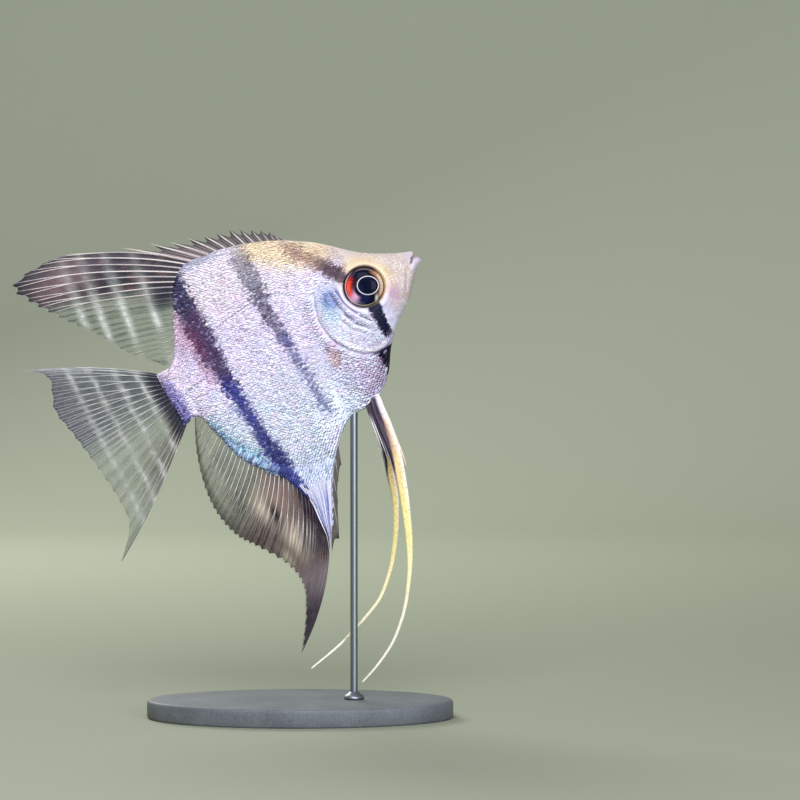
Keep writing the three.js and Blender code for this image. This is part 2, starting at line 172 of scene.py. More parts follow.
# Each crease: its path, how far it is moved back and down, its width, and its depth (a swelling if negative).
CREASES = [(MOUTH, 0, 0, 0.28, 0.8), (UPPER_LIP, 0, 0, 0.85, -0.45), (LOWER_LIP, 0, 0, 0.95, -0.6),
           (JAW_FOLD, 0, 0, 0.42, 0.36), (JAW_FOLD, 0.9, 0, 0.9, -0.22), (SNOUT_FOLD, 0, 0, 0.4, 0.22)]
CREASES += [crease for fold in ORBIT_FOLDS for crease in ((fold, 0, 0, 0.4, 0.34), (fold, 0.8, 0.6, 0.7, -0.26))]
PORES = [(89.3, 4.4, 0.55), (85.4, -5.2, 0.32), (84.2, -6.9, 0.28), (87.2, -3.4, 0.22), (82.3, -10.6, 0.22),
         (86.5, -9.4, 0.22), (83.5, 8.7, 0.24), (75.5, 12.4, 0.22), (91.4, 1.7, 0.2), (79.5, -13.6, 0.2)]


def from_edge(x, z):
    return np.minimum(BACK(x) - z, z - BELLY(x))


def from_eye(x, z):
    return np.hypot(x - EYE["x"], z - EYE["z"])


def relief(x, z):
    """Steps, folds and swellings of the skin, as a change of half the thickness in fish units."""
    gap, _, side = near(GILL_EDGE, x, z)
    lifted = (0.2 + 0.22 * ramp(z, -5, -12)) * np.exp(-gap / 5) * ramp(gap, 0, 0.35)
    fading = ramp(x, 50, 56) * ramp(near([(62, 22), (62, 9)], x, z)[0], 0, 4)
    out = np.where(side > 0, lifted, -0.55 * np.exp(-gap / 1.3)) * fading
    gap, _, side = near(CHEEK_EDGE, x, z)
    out += np.where(side > 0, 0.12 * np.exp(-gap / 3), -0.12 * np.exp(-gap / 0.8)) * ramp(gap, 0, 0.3)
    for path, back, down, width, depth in CREASES:
        out -= depth * bell(near(path, x + back, z + down)[0], 0, width)
    for pore_x, pore_z, radius in PORES:
        gap = np.hypot(x - pore_x, z - pore_z)
        out -= radius * (1.1 * bell(gap, 0, radius) - 0.35 * bell(gap, 1.6 * radius, radius))
    out += 0.35 * bell(from_eye(x, z), 9.4, 1.6)
    return out * ramp(from_edge(x, z), 0, 1.2)


def thickness(x, z):
    return plain_thickness(x, z) + relief(x, z)


print("relief below the eye:", np.round(relief(np.array([78.0]), np.array([-9.0])), 3))

# %% [markdown]
# ## The markings, with painted shade and highlights
# A silver angelfish has a lilac-white ground and dark upright bars: one through the eye, a narrow one, the
# broad main one that runs on into the anal fin, and one over the root of the tail. Gold dusts the nape. The
# markings are a function of the place on the side view, and the same function paints shade and highlights
# at the folds below the eye, the mouth and the gill cover's rim. Skin and scales both ask it for their
# colour, and so they always agree.

# %% Colours and bars


def linear(code):
    """A hex colour, as a painter would pick it, to the linear numbers that a shader needs."""
    srgb = np.array([int(code[i:i + 2], 16) for i in (1, 3, 5)]) / 255
    return np.where(srgb <= 0.04045, srgb / 12.92, ((srgb + 0.055) / 1.055) ** 2.4)


def coats(base, *rows):
    """Coats of paint on a base: rows of a hex colour and the factors of its cover. (value, low, high) is a ramp."""
    colour = linear(base) if isinstance(base, str) else base
    for code, *factors in rows:
        cover = 1.0
        for factor in factors:
            cover = cover * (ramp(*factor) if isinstance(factor, tuple) else factor)
        colour = colour + (linear(code) - colour) * np.clip(cover, 0, 1)[..., None]
    return colour


def bar(x, z, levels, centres, halves, soft):
    """Strength of an upright bar: its centre and half-width at each level, and how soft its edges are."""
    centre, half = np.interp(z, levels, centres), np.interp(z, levels, halves)
    return ramp(np.abs(x - centre), half + soft, half - soft)


def patch(x, z, at, size, power=1.0):
    return np.exp(-((((x - at[0]) / size[0]) ** 2 + ((z - at[1]) / size[1]) ** 2) ** power))


def blotch(x, z, size):
    """Soft irregular clouds of about the given size, between -1 and 1, the same on skin and scales."""
    a, b = x * 2.2 / size, z * 2.2 / size
    return np.sin(a + 1.9 * np.sin(0.83 * b + 0.5)) * np.sin(1.13 * b + 1.6 * np.sin(0.71 * a + 2.1))


def markings_and_painted_light(x, z):
    """The fish's colour by place on its side view, in linear RGB, with painted shade and highlights on the head."""
    back, belly = BACK(x), BELLY(x)
    from_back = back - z
    cloud, mottle = blotch(x, z, 5), blotch(x + 3, z - 1, 1.9)
    edge = ramp(x, 25, 16) * ramp(x, 3, 6) * ramp(z - belly, 12, 4) * ramp(z, -12, -17)
    stripes = 0.5 + 0.5 * np.sin(2.7 * (x * 0.72 - z * 0.5))
    gold, _, _ = near([(48, 32), (55, 27), (63, 21.5), (70, 19)], x, z)
    on_snout = ramp(x, 80, 85)
    from_bar, down, _ = near([(57.6, 28.2), (62.6, 22.4), (67.4, 16), (72.2, 8.8)], x, z)
    band = ramp(from_bar + 0.6 * mottle + 0.5 * blotch(x, z, 1.0), 3.9, 1.0)
    gap, _, side = near(GILL_EDGE, x, z)
    low_rim = ramp(z, -6, -12) * ramp(x, 77, 75)
    under_eye = bar(x, z, [-17.5, -12, -6], [77.2, 77.5, 78.0], [1.6, 2.0, 2.3], 0.6)
    throat = np.interp(z, [-34, -29, -26.2, -23, -21.1], [67.8, 69.8, 70.9, 70.6, 69.3])
    speck = 0.8 + 0.2 * blotch(x, z, 1.1)
    levels = [-34, -30, -24, -18, -12, -6, 0, 6, 12, 18, 24, 30, 36]
    centres = [45.4, 45.3, 45, 45, 44.7, 44.1, 44, 43.3, 43.2, 43.8, 43.7, 43.2, 43.4]
    halves = [1.0, 1.3, 1.5, 1.6, 1.6, 1.7, 2.0, 2.4, 2.7, 2.9, 3.5, 3.4, 3.3]
    second = bar(x + 0.3 * blotch(x, z, 1.0), z, levels, centres, halves, 0.9)
    main_levels = [-67, -60, -54, -46, -38, -30, -24, -18, -12, -6, 0, 6, 12, 18, 24, 30, 38]
    left = np.array([22, 21.2, 20.4, 18.9, 18.4, 18.2, 17.9, 17.5, 16.8, 16, 16, 14.7, 13.9, 14.2, 14.6, 13.6, 13.4])
    right = np.array([25, 25.8, 26.2, 25, 25.1, 23.5, 22.6, 22.2, 22, 21.8, 21.9, 22.2, 22.3, 22.6, 22, 21.7, 20.8])
    main = bar(x + 0.4 * blotch(x, z, 1.2), z, main_levels, (left + right) / 2, (right - left) / 2, 1.3)
    return coats(
        "#ECE2FF",
        ("#EBE1EC", (z, 8, 26)),
        ("#E2EAFF", (z, -2, -26)),
        ("#E2E6F8", (x, 52, 60), (z, 12, 2)),
        ("#BDB6CC", 0.5, (x, 50, 56), (x, 63, 58), (z, 12, 5), (z, -36, -22)),
        ("#D8DAEA", (x, 60, 66), (z, 12, 2)),
        ("#F2D6E8", 0.35, (cloud, 0.1, 0.8)),
        ("#D4EAFA", 0.22, (cloud, -0.2, -0.9)),
        ("#C2B0D4", 0.22, (mottle, 0.35, 1.0), (z, 34, 20)),
        ("#F4E0E6", 0.6 * patch(x, z, (54, 18), (7, 7)) + 0.4 * patch(x, z, (33, 24), (8, 10))),
        ("#DDB4CE", 0.7, patch(x, z, (10, 17), (5, 9))),
        ("#EBCFD6", 0.7, patch(x, z, (2, 6), (5, 4))),
        ("#C6DCEE", 0.9, edge),
        ("#A0DAE8", 0.85, edge, (z - belly, 11, 5), (blotch(x, z, 1.5), -0.5, 0.3)),
        ("#44548F", 0.85, edge, (stripes + 0.3 * mottle, 0.55, 0.9)),
        ("#6E7CA8", 0.6, edge, (z - belly, 2.6, 0.6)),
        ("#C6D6F6", 0.6, patch(x, z, (30, -52), (9, 9))),
        ("#B8A0C0", 0.75, (x, 57, 61), (z, -16, -21), (z, -38, -32), (mottle, -0.9, 0.3)),
        ("#E6D6BE", 0.8, (x, 42, 56), (from_back, 9, 2.5)),
        ("#8E96B4", 0.6, (from_back, 4.5, 0.5), (x, 40, 32), (x, 14, 18)),
        ("#F2D9AC", 0.85, (gold + 0.7 * mottle, 8, 1.5), (x, 78, 68)),
        ("#C4B6A8", (x, 79, 88), (z, -16, -8)),
        ("#D0C2B8", 0.8, (x, 68, 80), (z, 2, 8)),
        ("#E8CC90", 0.65, patch(from_eye(x, z), 0, (9, 0), (2.2, 1)), (z + 0.5 * x, 38, 46)),
        ("#C9A6A2", on_snout, 0.25 * ramp(mottle, 0.0, 0.9) + 0.1 * ramp(cloud, 0.2, 0.9)),
        ("#A08E98", 0.4, on_snout, (blotch(x, z + 4, 0.8), 0.3, 0.9)),
        ("#F2EEEA", 0.5, on_snout, (blotch(x + 2, z, 0.9), 0.2, 0.9)),
        ("#C08CA6", 0.5, patch(x, z, (86, -5.5), (2.6, 4))),
        ("#CCC0CC", 0.85, (x, 94.8, 97.2)),
        # Each fold below the eye: painted shade along its crease, and a painted highlight on the swelling just behind
        # and below it.
        *[row for fold in ORBIT_FOLDS for row in (
            ("#62587C", 0.75, (near(fold, x, z)[0], 0.55, 0.12)),
            ("#FBF6FF", 0.6, (near(fold, x + 0.8, z + 0.6)[0], 0.8, 0.2)))],
        ("#2C50A6", np.minimum(0.93, 1.35 * patch(x, z, (65.0, 2.7), (3.2, 3.6))),
         0.78 + 0.22 * blotch(x, z, 1.1)),
        ("#A6E0F0", 0.4, patch(x, z, (62.6, -1.8), (2.8, 3.2))),
        ("#BFA3C8", 0.35, (x, 66, 69), (z, -1, -6), (mottle, -0.3, 0.7)),
        ("#A07A70", 0.75, band, (x, 56.5, 60)),
        ("#463444", 0.92, band, (down, 0.52, 0.8)),
        # Along the lower gill cover: a pale line on its raised rim is a painted highlight, and a dark line just
        # outside its edge, in the step, is painted shade.
        ("#FBF8FF", 0.85, low_rim, side > 0, bell(gap, 1.0, 0.7)),
        ("#7A6488", 0.7, low_rim, side < 0, bell(gap, 0.5, 0.45)),
        ("#0B1030", under_eye, (z, -18.6, -17), (z, -3, -6)),
        ("#14142A", (x - throat, -0.3, 0.5), (z, -20.7, -21.5), (z, -35, -31)),
        ("#625E6A", 0.88, speck, second, (z, 8, 20), (z, 38, 31)),
        ("#3A3052", 0.94, speck, second, (z, -8, 2), (z, 26, 12)),
        ("#2A2E7E", 0.97, speck, second, (z, -35, -30), (z, 5, -5)),
        ("#B27C98", 0.6, (x, 10.4, 13.5), (x, 18, 15), (z, -9, 0), (z, 30, 22)),
        ("#442C56", 0.96, main, (z, -14, -6)),
        ("#7A4468", 0.7, main, patch(x, z, (14.6, 12), (2.8, 9))),
        ("#2C3050", 0.85, speck, main, (z, 19, 27)),
        ("#2A308C", 0.95, 0.9 + 0.1 * speck, main, (z, 0, -9)),
        ("#14163E", 0.5, patch(x, z, (22, -36), (2.4, 13)), main),
        ("#6660C4", 0.85, speck, (x + 0.8 * mottle, 2.4, 0.4), (z, 7, 3)),
        ("#302E58", 0.94, (x + 0.5 * mottle, 0.9, -1.7), 0.35 + 0.65 * ramp(z, -1, -6)),
        ("#D8B0AC", 0.75, patch(x, z, (56.6, -15.8), (2.2, 4.0), 1.2)),
        ("#6A4A58", 0.75, patch(x, z, (56.3, -11.9), (1.1, 1.6), 1.5)),
        ("#9A6E70", 0.7, (near([(58.6, -14), (58.0, -17.2), (56.6, -20)], x, z)[0], 0.8, 0.2)),
        # The mouth's cleft is painted dark, as shade inside it.
        ("#5A464E", 0.75, (near(MOUTH, x, z)[0], 0.42, 0.12)))


print("ground colour:", np.round(markings_and_painted_light(np.array([40.0]), np.array([0.0])), 3))

# %% [markdown]
# ## One helper for nodes
# Every finish below is a small graph of nodes. One function adds a node, sets it up and links its inputs,
# so a material reads as a list of what is mixed into what.

# %% Add a node


def add(tree, kind, inputs=None, out=0, **settings):
    """Adds a node with its settings and inputs, a value or a socket each, and returns one of its outputs."""
    node = tree.nodes.new(kind)
    for name, value in settings.items():
        setattr(node, name, value)
    for name, value in (inputs or {}).items():
        if isinstance(value, bpy.types.NodeSocket):
            tree.links.new(value, node.inputs[name])
        else:
            node.inputs[name].default_value = value
    return node.outputs[out] if len(node.outputs) else node


def new_material(name):
    material = bpy.data.materials.new(name)
    material.use_nodes = True
    material.node_tree.nodes.clear()
    return material, material.node_tree


def finish_material(tree, surface, **bump):
    """Ends a material's tree with the shader given; bump holds Height, Strength and Distance."""
    if bump:
        tree.links.new(add(tree, "ShaderNodeBump", bump), surface.node.inputs["Normal"])
    add(tree, "ShaderNodeOutputMaterial", {"Surface": surface})


print("helpers ready")

# %% [markdown]
# ## Painted skin
# A museum fish is a resin cast, painted and lacquered. The lacquer makes it look wet: a clear coat over a
# base that is a little metallic, because a fish's skin holds silver plates. The paint is the markings, with
# a fine grain of pigment specks about 0.25 mm apart and broader clouds of 3 mm.

# %% Skin material


def painted_skin():
    skin, tree = new_material("pearl_lacquered_skin")
    paint = add(tree, "ShaderNodeAttribute", attribute_name="tint")
    place = add(tree, "ShaderNodeTexCoord", None, "Object")
    specks = add(tree, "ShaderNodeTexNoise", {"Vector": place, "Scale": 4200.0, "Detail": 2.0})
    clouds = add(tree, "ShaderNodeTexNoise", {"Vector": place, "Scale": 330.0, "Detail": 3.0})
    shade = add(tree, "ShaderNodeMapRange", {
        "Value": specks, "From Min": 0.3, "From Max": 0.7, "To Min": 0.86, "To Max": 1.1})
    cloud = add(tree, "ShaderNodeMapRange", {
        "Value": clouds, "From Min": 0.3, "From Max": 0.7, "To Min": 0.94, "To Max": 1.05})
    both = add(tree, "ShaderNodeMath", {0: shade, 1: cloud}, operation="MULTIPLY")
    mottled = add(tree, "ShaderNodeVectorMath", {0: paint, "Scale": both}, operation="SCALE")
    gloss = add(tree, "ShaderNodeMapRange", {"Value": clouds, "To Min": 0.3, "To Max": 0.5})
    surface = add(tree, "ShaderNodeBsdfPrincipled", {
        "Base Color": mottled, "Roughness": gloss, "Metallic": 0.05, "Specular IOR Level": 0.1,
        "Coat Weight": 0.04, "Coat Roughness": 0.22, "IOR": 1.45})
    finish_material(tree, surface, Height=specks, Strength=0.35, Distance=0.00004)
    return skin


SKIN = painted_skin()
print("made", SKIN.name)

# %% [markdown]
# ## Building a piece
# A piece is made from lists of points and faces. Its points arrive in fish units and are set in metres at
# once, so its object can stay at the origin, unturned and unscaled. Values at each point, such as a colour,
# travel with the mesh as attributes that the finish can read.

# %% Mesh helpers
FIELDS = {"FLOAT": "value", "FLOAT_VECTOR": "vector", "FLOAT_COLOR": "color"}


def set_values(mesh, name, kind, numbers):
    """Stores numbers at the points of a mesh."""
    mesh.attributes.new(name, kind, "POINT").data.foreach_set(FIELDS[kind], np.asarray(numbers, float).ravel())


def set_tint(mesh, colours):
    set_values(mesh, "tint", "FLOAT_COLOR", np.column_stack([colours, np.ones(len(colours))]))


def in_scene(name, data):
    thing = bpy.data.objects.new(name, data)
    bpy.context.scene.collection.objects.link(thing)
    return thing


def add_piece(name, mesh):
    """Shows a mesh as a piece that rides on the one body."""
    piece = in_scene(name, mesh)
    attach(piece, "root")
    mesh.calc_loop_triangles()
    print(name, "has", len(mesh.loop_triangles), "triangles")
    return piece


def new_piece(name, points, faces, material, colours=None, cover=None, world=False):
    mesh = bpy.data.meshes.new(name)
    mesh.from_pydata((points if world else to_world(points)).tolist(), [], [list(map(int, f)) for f in faces])
    mesh.shade_smooth()
    mesh.materials.append(material)
    if colours is not None:
        set_tint(mesh, colours)
    if cover is not None:
        set_values(mesh, "cover", "FLOAT", cover)
    return add_piece(name, mesh)


def grid_faces(rows, columns, wrap=False):
    """Quads over a grid of points held row by row."""
    r, c = np.meshgrid(np.arange(rows - 1), np.arange(columns if wrap else columns - 1), indexing="ij")
    a, b = r * columns + c, r * columns + (c + 1) % columns
    return np.stack([a, b, b + columns, a + columns], -1).reshape(-1, 4)


def tube_faces(rows, count, capped):
    """Quads round a stack of rings. It is capped by the two points after the rings, or joined end to end."""
    faces, last = grid_faces(rows, count, wrap=True).tolist(), (rows - 1) * count
    for j in range(count):
        k = (j + 1) % count
        ends = [[rows * count, k, j], [rows * count + 1, last + j, last + k]]
        faces += ends if capped else [[last + j, last + k, k, j]]
    return faces


def facing_out(points, faces):
    """The faces, turned over if they face into the volume that they close."""
    corner = points[np.array([f[:3] for f in faces])]
    inward = np.einsum("ij,ij->i", corner[:, 0], np.cross(corner[:, 1], corner[:, 2])).sum() < 0
    return [f[::-1] for f in faces] if inward else faces


print("mesh helpers ready")

# %% [markdown]
# ## One skin for the whole body
# The skin is a grid wrapped round the body, a ring of points at each station along it, close together on the
# head and at the sharp edges of the back and belly. It lies 0.12 mm inside the solid flesh, which leaves
# room for the scales, and one mesh covers head, jaw, gill covers, trunk and tail stalk, so no seam shows.

# %% Skin mesh
COAT_DEPTH = 0.12 * MM / UNIT
SIDE_ROWS = 148
EDGE_ROWS = 9
SOCKET_DEPTH = 4.2
STATION_SPANS = [(-2.6, -1.6, 0.2), (-1.6, 4, 0.4), (4, 30, 0.5), (30, 57, 0.9), (57, 92, 0.33), (92, 97, 0.22),
                 (97, 100.5, 0.11)]


def side_levels(x):
    """Levels from belly to back at each station, crowded within a small step of both edges."""
    low, high = BELLY(x)[:, None] + COAT_DEPTH * 0.5, BACK(x)[:, None] - COAT_DEPTH * 0.5
    edge = np.minimum(1.5, 0.2 * (high - low))
    near_edge = edge * (np.arange(EDGE_ROWS) / EDGE_ROWS) ** 2
    t = np.linspace(0, 1, SIDE_ROWS - 2 * EDGE_ROWS)
    middle = low + edge + (high - low - 2 * edge) * t
    return np.concatenate([low + near_edge, middle, high - near_edge[:, ::-1]], 1)


def mouth_shift(x, z):
    """The upper lip leans forward over the mouth, whose corner is cut back."""
    shift = np.interp(z, [-1, 1.5, 1.95, 2.35, 2.75, 3.2, 3.8, 4.5, 6], [0, 0, -0.3, -0.9, -0.7, 0.0, 0.5, 0.65, 0.2])
    return shift * ramp(x, 95.8, 98.6)


def one_skin():
    x = np.concatenate([np.arange(a, b - 1e-6, step) for a, b, step in STATION_SPANS] + [[100.5]])
    z = side_levels(x)
    x = np.repeat(x[:, None], SIDE_ROWS, 1)
    y = np.maximum(0, thickness(x, z) - COAT_DEPTH)
    socket = ramp(from_eye(x, z), 9.4, 8.0)
    y = np.where(socket > 0, np.maximum(0.6, y - 0.3 - SOCKET_DEPTH * socket), y)
    y[:, [0, -1]] = 0
    side = np.stack([x + mouth_shift(x, z), y, z], -1)
    rings = np.concatenate([side, (side * [1, -1, 1])[:, -2:0:-1]], 1)
    stations, around = rings.shape[:2]
    points = rings.reshape(-1, 3)
    faces = grid_faces(stations, around, wrap=True).tolist()
    faces += [list(range(around)), list(range(stations * around - 1, (stations - 1) * around - 1, -1))]
    paint = markings_and_painted_light(points[:, 0] - mouth_shift(points[:, 0], points[:, 2]), points[:, 2])
    return new_piece("skin", points, faces, SKIN, paint)


skin = one_skin()
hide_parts("head", "lower_jaw", "gill_cover_left", "gill_cover_right", "trunk", "tail_stalk")

# %% [markdown]
# ## Where the scales sit
# Each flank carries about eight thousand scales in staggered rows, about 0.5 mm apart, smaller on the cheek
# and gill cover and smallest near the fins. Each scale is rooted in the skin and lies back along the flow of
# the body. Points in rows could be scattered at random instead, but real scales keep to their rows.

# %% Lie and rows
HEAD_SCALE = 0.62


def lie_angle(x, z):
    """How far the scales turn from straight back, up near the dorsal fin and down over the anal lobe."""
    up = 26 * ramp(z, 16, 38) * ramp(x, 46, 22)
    down = 62 * ramp(z, -24, -62) * ramp(x, 62, 44) + 30 * ramp(x, 22, 10) * ramp(z, -8, -30)
    return np.radians(up - down)


def rows(low, high, step, row, jitter, seed):
    """Staggered places over a box of the side view."""
    rng = np.random.default_rng(seed)
    spots = [(x + (k % 2) * step / 2, z) for k, z in enumerate(np.arange(low[1], high[1], row))
             for x in np.arange(low[0], high[0], step)]
    return (np.array(spots) + rng.uniform(-jitter, jitter, (len(spots), 2))).T


def scale_spots():
    """Places and sizes of one side's scales: the body's first, then the smaller ones of cheek and gill cover."""
    kept = []
    for size, (x, z) in [(1.0, rows((-2, -68), (74, 39), step=1.2, row=0.58, jitter=0.17, seed=3)),
                         (HEAD_SCALE, rows((57, -21), (82, 27), step=0.84, row=0.41, jitter=0.13, seed=5))]:
        rim, _, side = near(GILL_EDGE, x, z)
        ahead = np.where(z < 9.2, side > 0, x > 66 + 0.1 * (z - 9)) & (x > 56) & (z > -21.6)
        if size == 1.0:
            keep = (from_edge(x, z) > 0.25) & ~ahead & (x < 76 - 0.02 * z) & (z < 30 + 0.5 * (60 - x)) & (x > -0.8)
        else:
            folds = np.min([near(f, x, z)[0] for f in ORBIT_FOLDS], 0)
            keep = (from_edge(x, z) > 0.6) & ahead & (rim > 0.75 - 0.35 * ramp(z, -12, -4)) & (folds > 0.35)
            keep &= (from_eye(x, z) > 9.3) & (x < 80 - 0.3 * np.maximum(0, z - 4)) & ((z < 4) | (x < 77))
        kept.append(np.array([x[keep], z[keep], np.full(keep.sum(), size)]))
    return np.concatenate(kept, 1)


SPOTS = scale_spots()
print(SPOTS.shape[1], "scales on each side")

# %% [markdown]
# ## Growing the scales
# Geometry Nodes does the planting: a mesh of root points carries the lie, size, colour and place on the
# unwrapped skin, and the tree sets one thin shell on each, turned a little at random, since scales never
# lie perfectly alike and that is what makes a fish glitter. The instances are realized into plain mesh.

# %% One scale


def scale_shape():
    """A thin shell one unit long and wide: domed above, flat below, its free edge round."""
    points = []
    for along, half in [(0.0, 0.3), (0.38, 0.47), (0.7, 0.5), (0.9, 0.36)]:
        lift = 0.012 + 0.034 * along
        points += [(along, -half, lift), (along, 0, lift + 0.012), (along, half, lift)]
    points.append((1.0, 0, 0.048))
    faces = [(3 * i + j, 3 * i + 3 + j, 3 * i + 4 + j, 3 * i + 1 + j) for i in range(3) for j in range(2)]
    faces += [(9, 12, 10), (10, 12, 11), (0, 1, 2, 5, 8, 11, 12, 9, 6, 3)]
    mesh = bpy.data.meshes.new("one_scale")
    mesh.from_pydata(points, [], faces)
    mesh.polygons.foreach_set("use_smooth", [True] * 8 + [False])
    set_values(mesh, "rim", "FLOAT", [0.75, 0.3, 0.75, 0.75, 0, 0.75, 0.85, 0.1, 0.85, 1, 0.55, 1, 1])
    return bpy.data.objects.new("one_scale", mesh)


ONE_SCALE = scale_shape()
print("one scale has", sum(len(p.vertices) - 2 for p in ONE_SCALE.data.polygons), "triangles")

# %% Scale finish


def pearl_scales():
    """Painted scales under satin lacquer: the markings, paler in the middle and darker round the free edge."""
    pearl, tree = new_material("pearl_painted_scales")
    paint = add(tree, "ShaderNodeAttribute", attribute_name="tint")
    edge = add(tree, "ShaderNodeAttribute", None, "Fac", attribute_name="rim")
    place = add(tree, "ShaderNodeTexCoord", None, "Object")
    fleck = add(tree, "ShaderNodeTexNoise", {"Vector": place, "Scale": 2600.0, "Detail": 2.0})
    rimmed = add(tree, "ShaderNodeMapRange", {
        "Value": edge, "From Min": 0.2, "From Max": 1.0, "To Min": 1.03, "To Max": 0.92})
    flecked = add(tree, "ShaderNodeMapRange", {
        "Value": fleck, "From Min": 0.3, "From Max": 0.7, "To Min": 0.88, "To Max": 1.1})
    both = add(tree, "ShaderNodeMath", {0: rimmed, 1: flecked}, operation="MULTIPLY")
    shaded = add(tree, "ShaderNodeVectorMath", {0: paint, "Scale": both}, operation="SCALE")
    gloss = add(tree, "ShaderNodeMapRange", {"Value": fleck, "To Min": 0.22, "To Max": 0.42})
    surface = add(tree, "ShaderNodeBsdfPrincipled", {
        "Base Color": shaded, "Roughness": gloss, "Metallic": 0.04, "Specular IOR Level": 0.35,
        "Coat Weight": 0.08, "Coat Roughness": 0.2, "IOR": 1.45})
    finish_material(tree, surface, Height=fleck, Strength=0.25, Distance=0.00002)
    return pearl


SCALES = pearl_scales()
print("made", SCALES.name)

# %% The tree that plants them


def node_group(name, sockets):
    """A new tree over a mesh, with its inputs declared (name, kind, starting value), and their sockets."""
    tree = bpy.data.node_groups.new(name, "GeometryNodeTree")
    tree.interface.new_socket("Geometry", in_out="OUTPUT", socket_type="NodeSocketGeometry")
    for label, kind, start in [("Geometry", "Geometry", None), *sockets, ("Finish", "Material", None)]:
        made = tree.interface.new_socket(label, in_out="INPUT", socket_type="NodeSocket" + kind)
        if start is not None:
            made.default_value = start
    return tree, tree.nodes.new("NodeGroupInput").outputs


def end_tree(tree, geometry, finish):
    """Gives the mesh its finish and ends the tree."""
    done = add(tree, "GeometryNodeSetMaterial", {"Geometry": geometry, "Material": finish})
    add(tree, "NodeGroupOutput", {"Geometry": done})
    print(tree.name, "has", len(tree.nodes), "nodes")
    return tree


def planting_tree():
    tree, given = node_group("plant_scales", [
        ("Scale shape", "Object", None), ("Length", "Float", 0.001), ("Width", "Float", 0.001),
        ("Uneven tilt", "Float", 0.1), ("Uneven size", "Float", 0.1), ("Patch width", "Float", 0.003),
        ("Seed", "Int", 1)])
    shape = add(tree, "GeometryNodeObjectInfo", {"Object": given["Scale shape"]}, "Geometry")
    marked = add(tree, "GeometryNodeStoreNamedAttribute", {
        "Geometry": shape, "Name": "patch", "Value": add(tree, "GeometryNodeInputPosition")},
        data_type="FLOAT_VECTOR", domain="POINT")
    least, most = [add(tree, "ShaderNodeMath", {0: 1.0, 1: given["Uneven size"]}, operation=way)
                   for way in ("SUBTRACT", "ADD")]
    uneven = add(tree, "FunctionNodeRandomValue", {2: least, 3: most, "Seed": given["Seed"]}, 1, data_type="FLOAT")
    size, lie, root_uv, patch_place = [
        add(tree, "GeometryNodeInputNamedAttribute", {"Name": name}, data_type=kind) for name, kind in (
            ("size", "FLOAT"), ("lie", "FLOAT_VECTOR"), ("root_uv", "FLOAT_VECTOR"), ("patch", "FLOAT_VECTOR"))]
    grown = add(tree, "ShaderNodeMath", {0: size, 1: uneven}, operation="MULTIPLY")
    sides = add(tree, "ShaderNodeCombineXYZ", {"X": given["Length"], "Y": given["Width"], "Z": given["Length"]})
    one_way = add(tree, "ShaderNodeCombineXYZ", dict.fromkeys("XYZ", given["Uneven tilt"]))
    other_way = add(tree, "ShaderNodeVectorMath", {0: one_way, "Scale": -1.0}, operation="SCALE")
    tilt = add(tree, "FunctionNodeRandomValue", {0: other_way, 1: one_way, "Seed": given["Seed"]},
               data_type="FLOAT_VECTOR")
    turn = add(tree, "FunctionNodeRotateRotation", {"Rotation": lie, "Rotate By": tilt}, rotation_space="LOCAL")
    full = add(tree, "ShaderNodeVectorMath", {0: sides, "Scale": grown}, operation="SCALE")
    planted = add(tree, "GeometryNodeInstanceOnPoints", {
        "Points": given["Geometry"], "Instance": marked, "Rotation": turn, "Scale": full})
    real = add(tree, "GeometryNodeRealizeInstances", {"Geometry": planted})
    offset = add(tree, "ShaderNodeVectorMath", {0: patch_place, "Scale": given["Patch width"]}, operation="SCALE")
    spot = add(tree, "ShaderNodeVectorMath", {0: root_uv, 1: offset}, operation="ADD")
    mapped = add(tree, "GeometryNodeStoreNamedAttribute", {"Geometry": real, "Name": "OFBake", "Value": spot},
                 data_type="FLOAT2", domain="CORNER")
    return end_tree(tree, mapped, given["Finish"])


PLANTING = planting_tree()

# %% Run a tree on root points


def run_tree(name, mesh, tree, inputs, drop):
    """Evaluates a tree on a mesh of points or lines and adds the plain mesh that it makes."""
    holder = in_scene(name + "_roots", mesh)
    modifier = holder.modifiers.new("tree", "NODES")
    modifier.node_group = tree
    for item in tree.interface.items_tree:
        if item.in_out == "INPUT" and item.name in inputs:
            modifier[item.identifier] = inputs[item.name]
    graph = bpy.context.evaluated_depsgraph_get()
    grown = holder.evaluated_get(graph)
    made = bpy.data.meshes.new_from_object(grown, preserve_all_data_layers=True, depsgraph=graph)
    bpy.data.objects.remove(holder)
    for key in drop:
        made.attributes.remove(made.attributes[key])
    made.name = name
    return add_piece(name, made)


print("ready to plant")

# %% [markdown]
# ## Roots on the skin
# Each root needs a frame: outward from the skin, back along the lie, and across. The outward direction comes
# from how the thickness changes round the root. The root's place on the unwrapped skin is its station along
# the body and its distance round the ring, both sides laid out side by side.

# %% Root points


def outward(x, z, side, step=0.8):
    """The skin's outward direction, in the fish's frame."""
    slopes = (thickness(x + step, z) - thickness(x - step, z), thickness(x, z + step) - thickness(x, z - step))
    slope_x, slope_z = (np.clip(slope / (2 * step), -1.2, 1.2) for slope in slopes)
    normal = np.stack([-slope_x, np.full_like(x, side), -slope_z], -1)
    return normal / np.linalg.norm(normal, axis=-1, keepdims=True)


def turn_to_world(vectors):
    return (to_world(vectors) - TAIL_ROOT) / UNIT


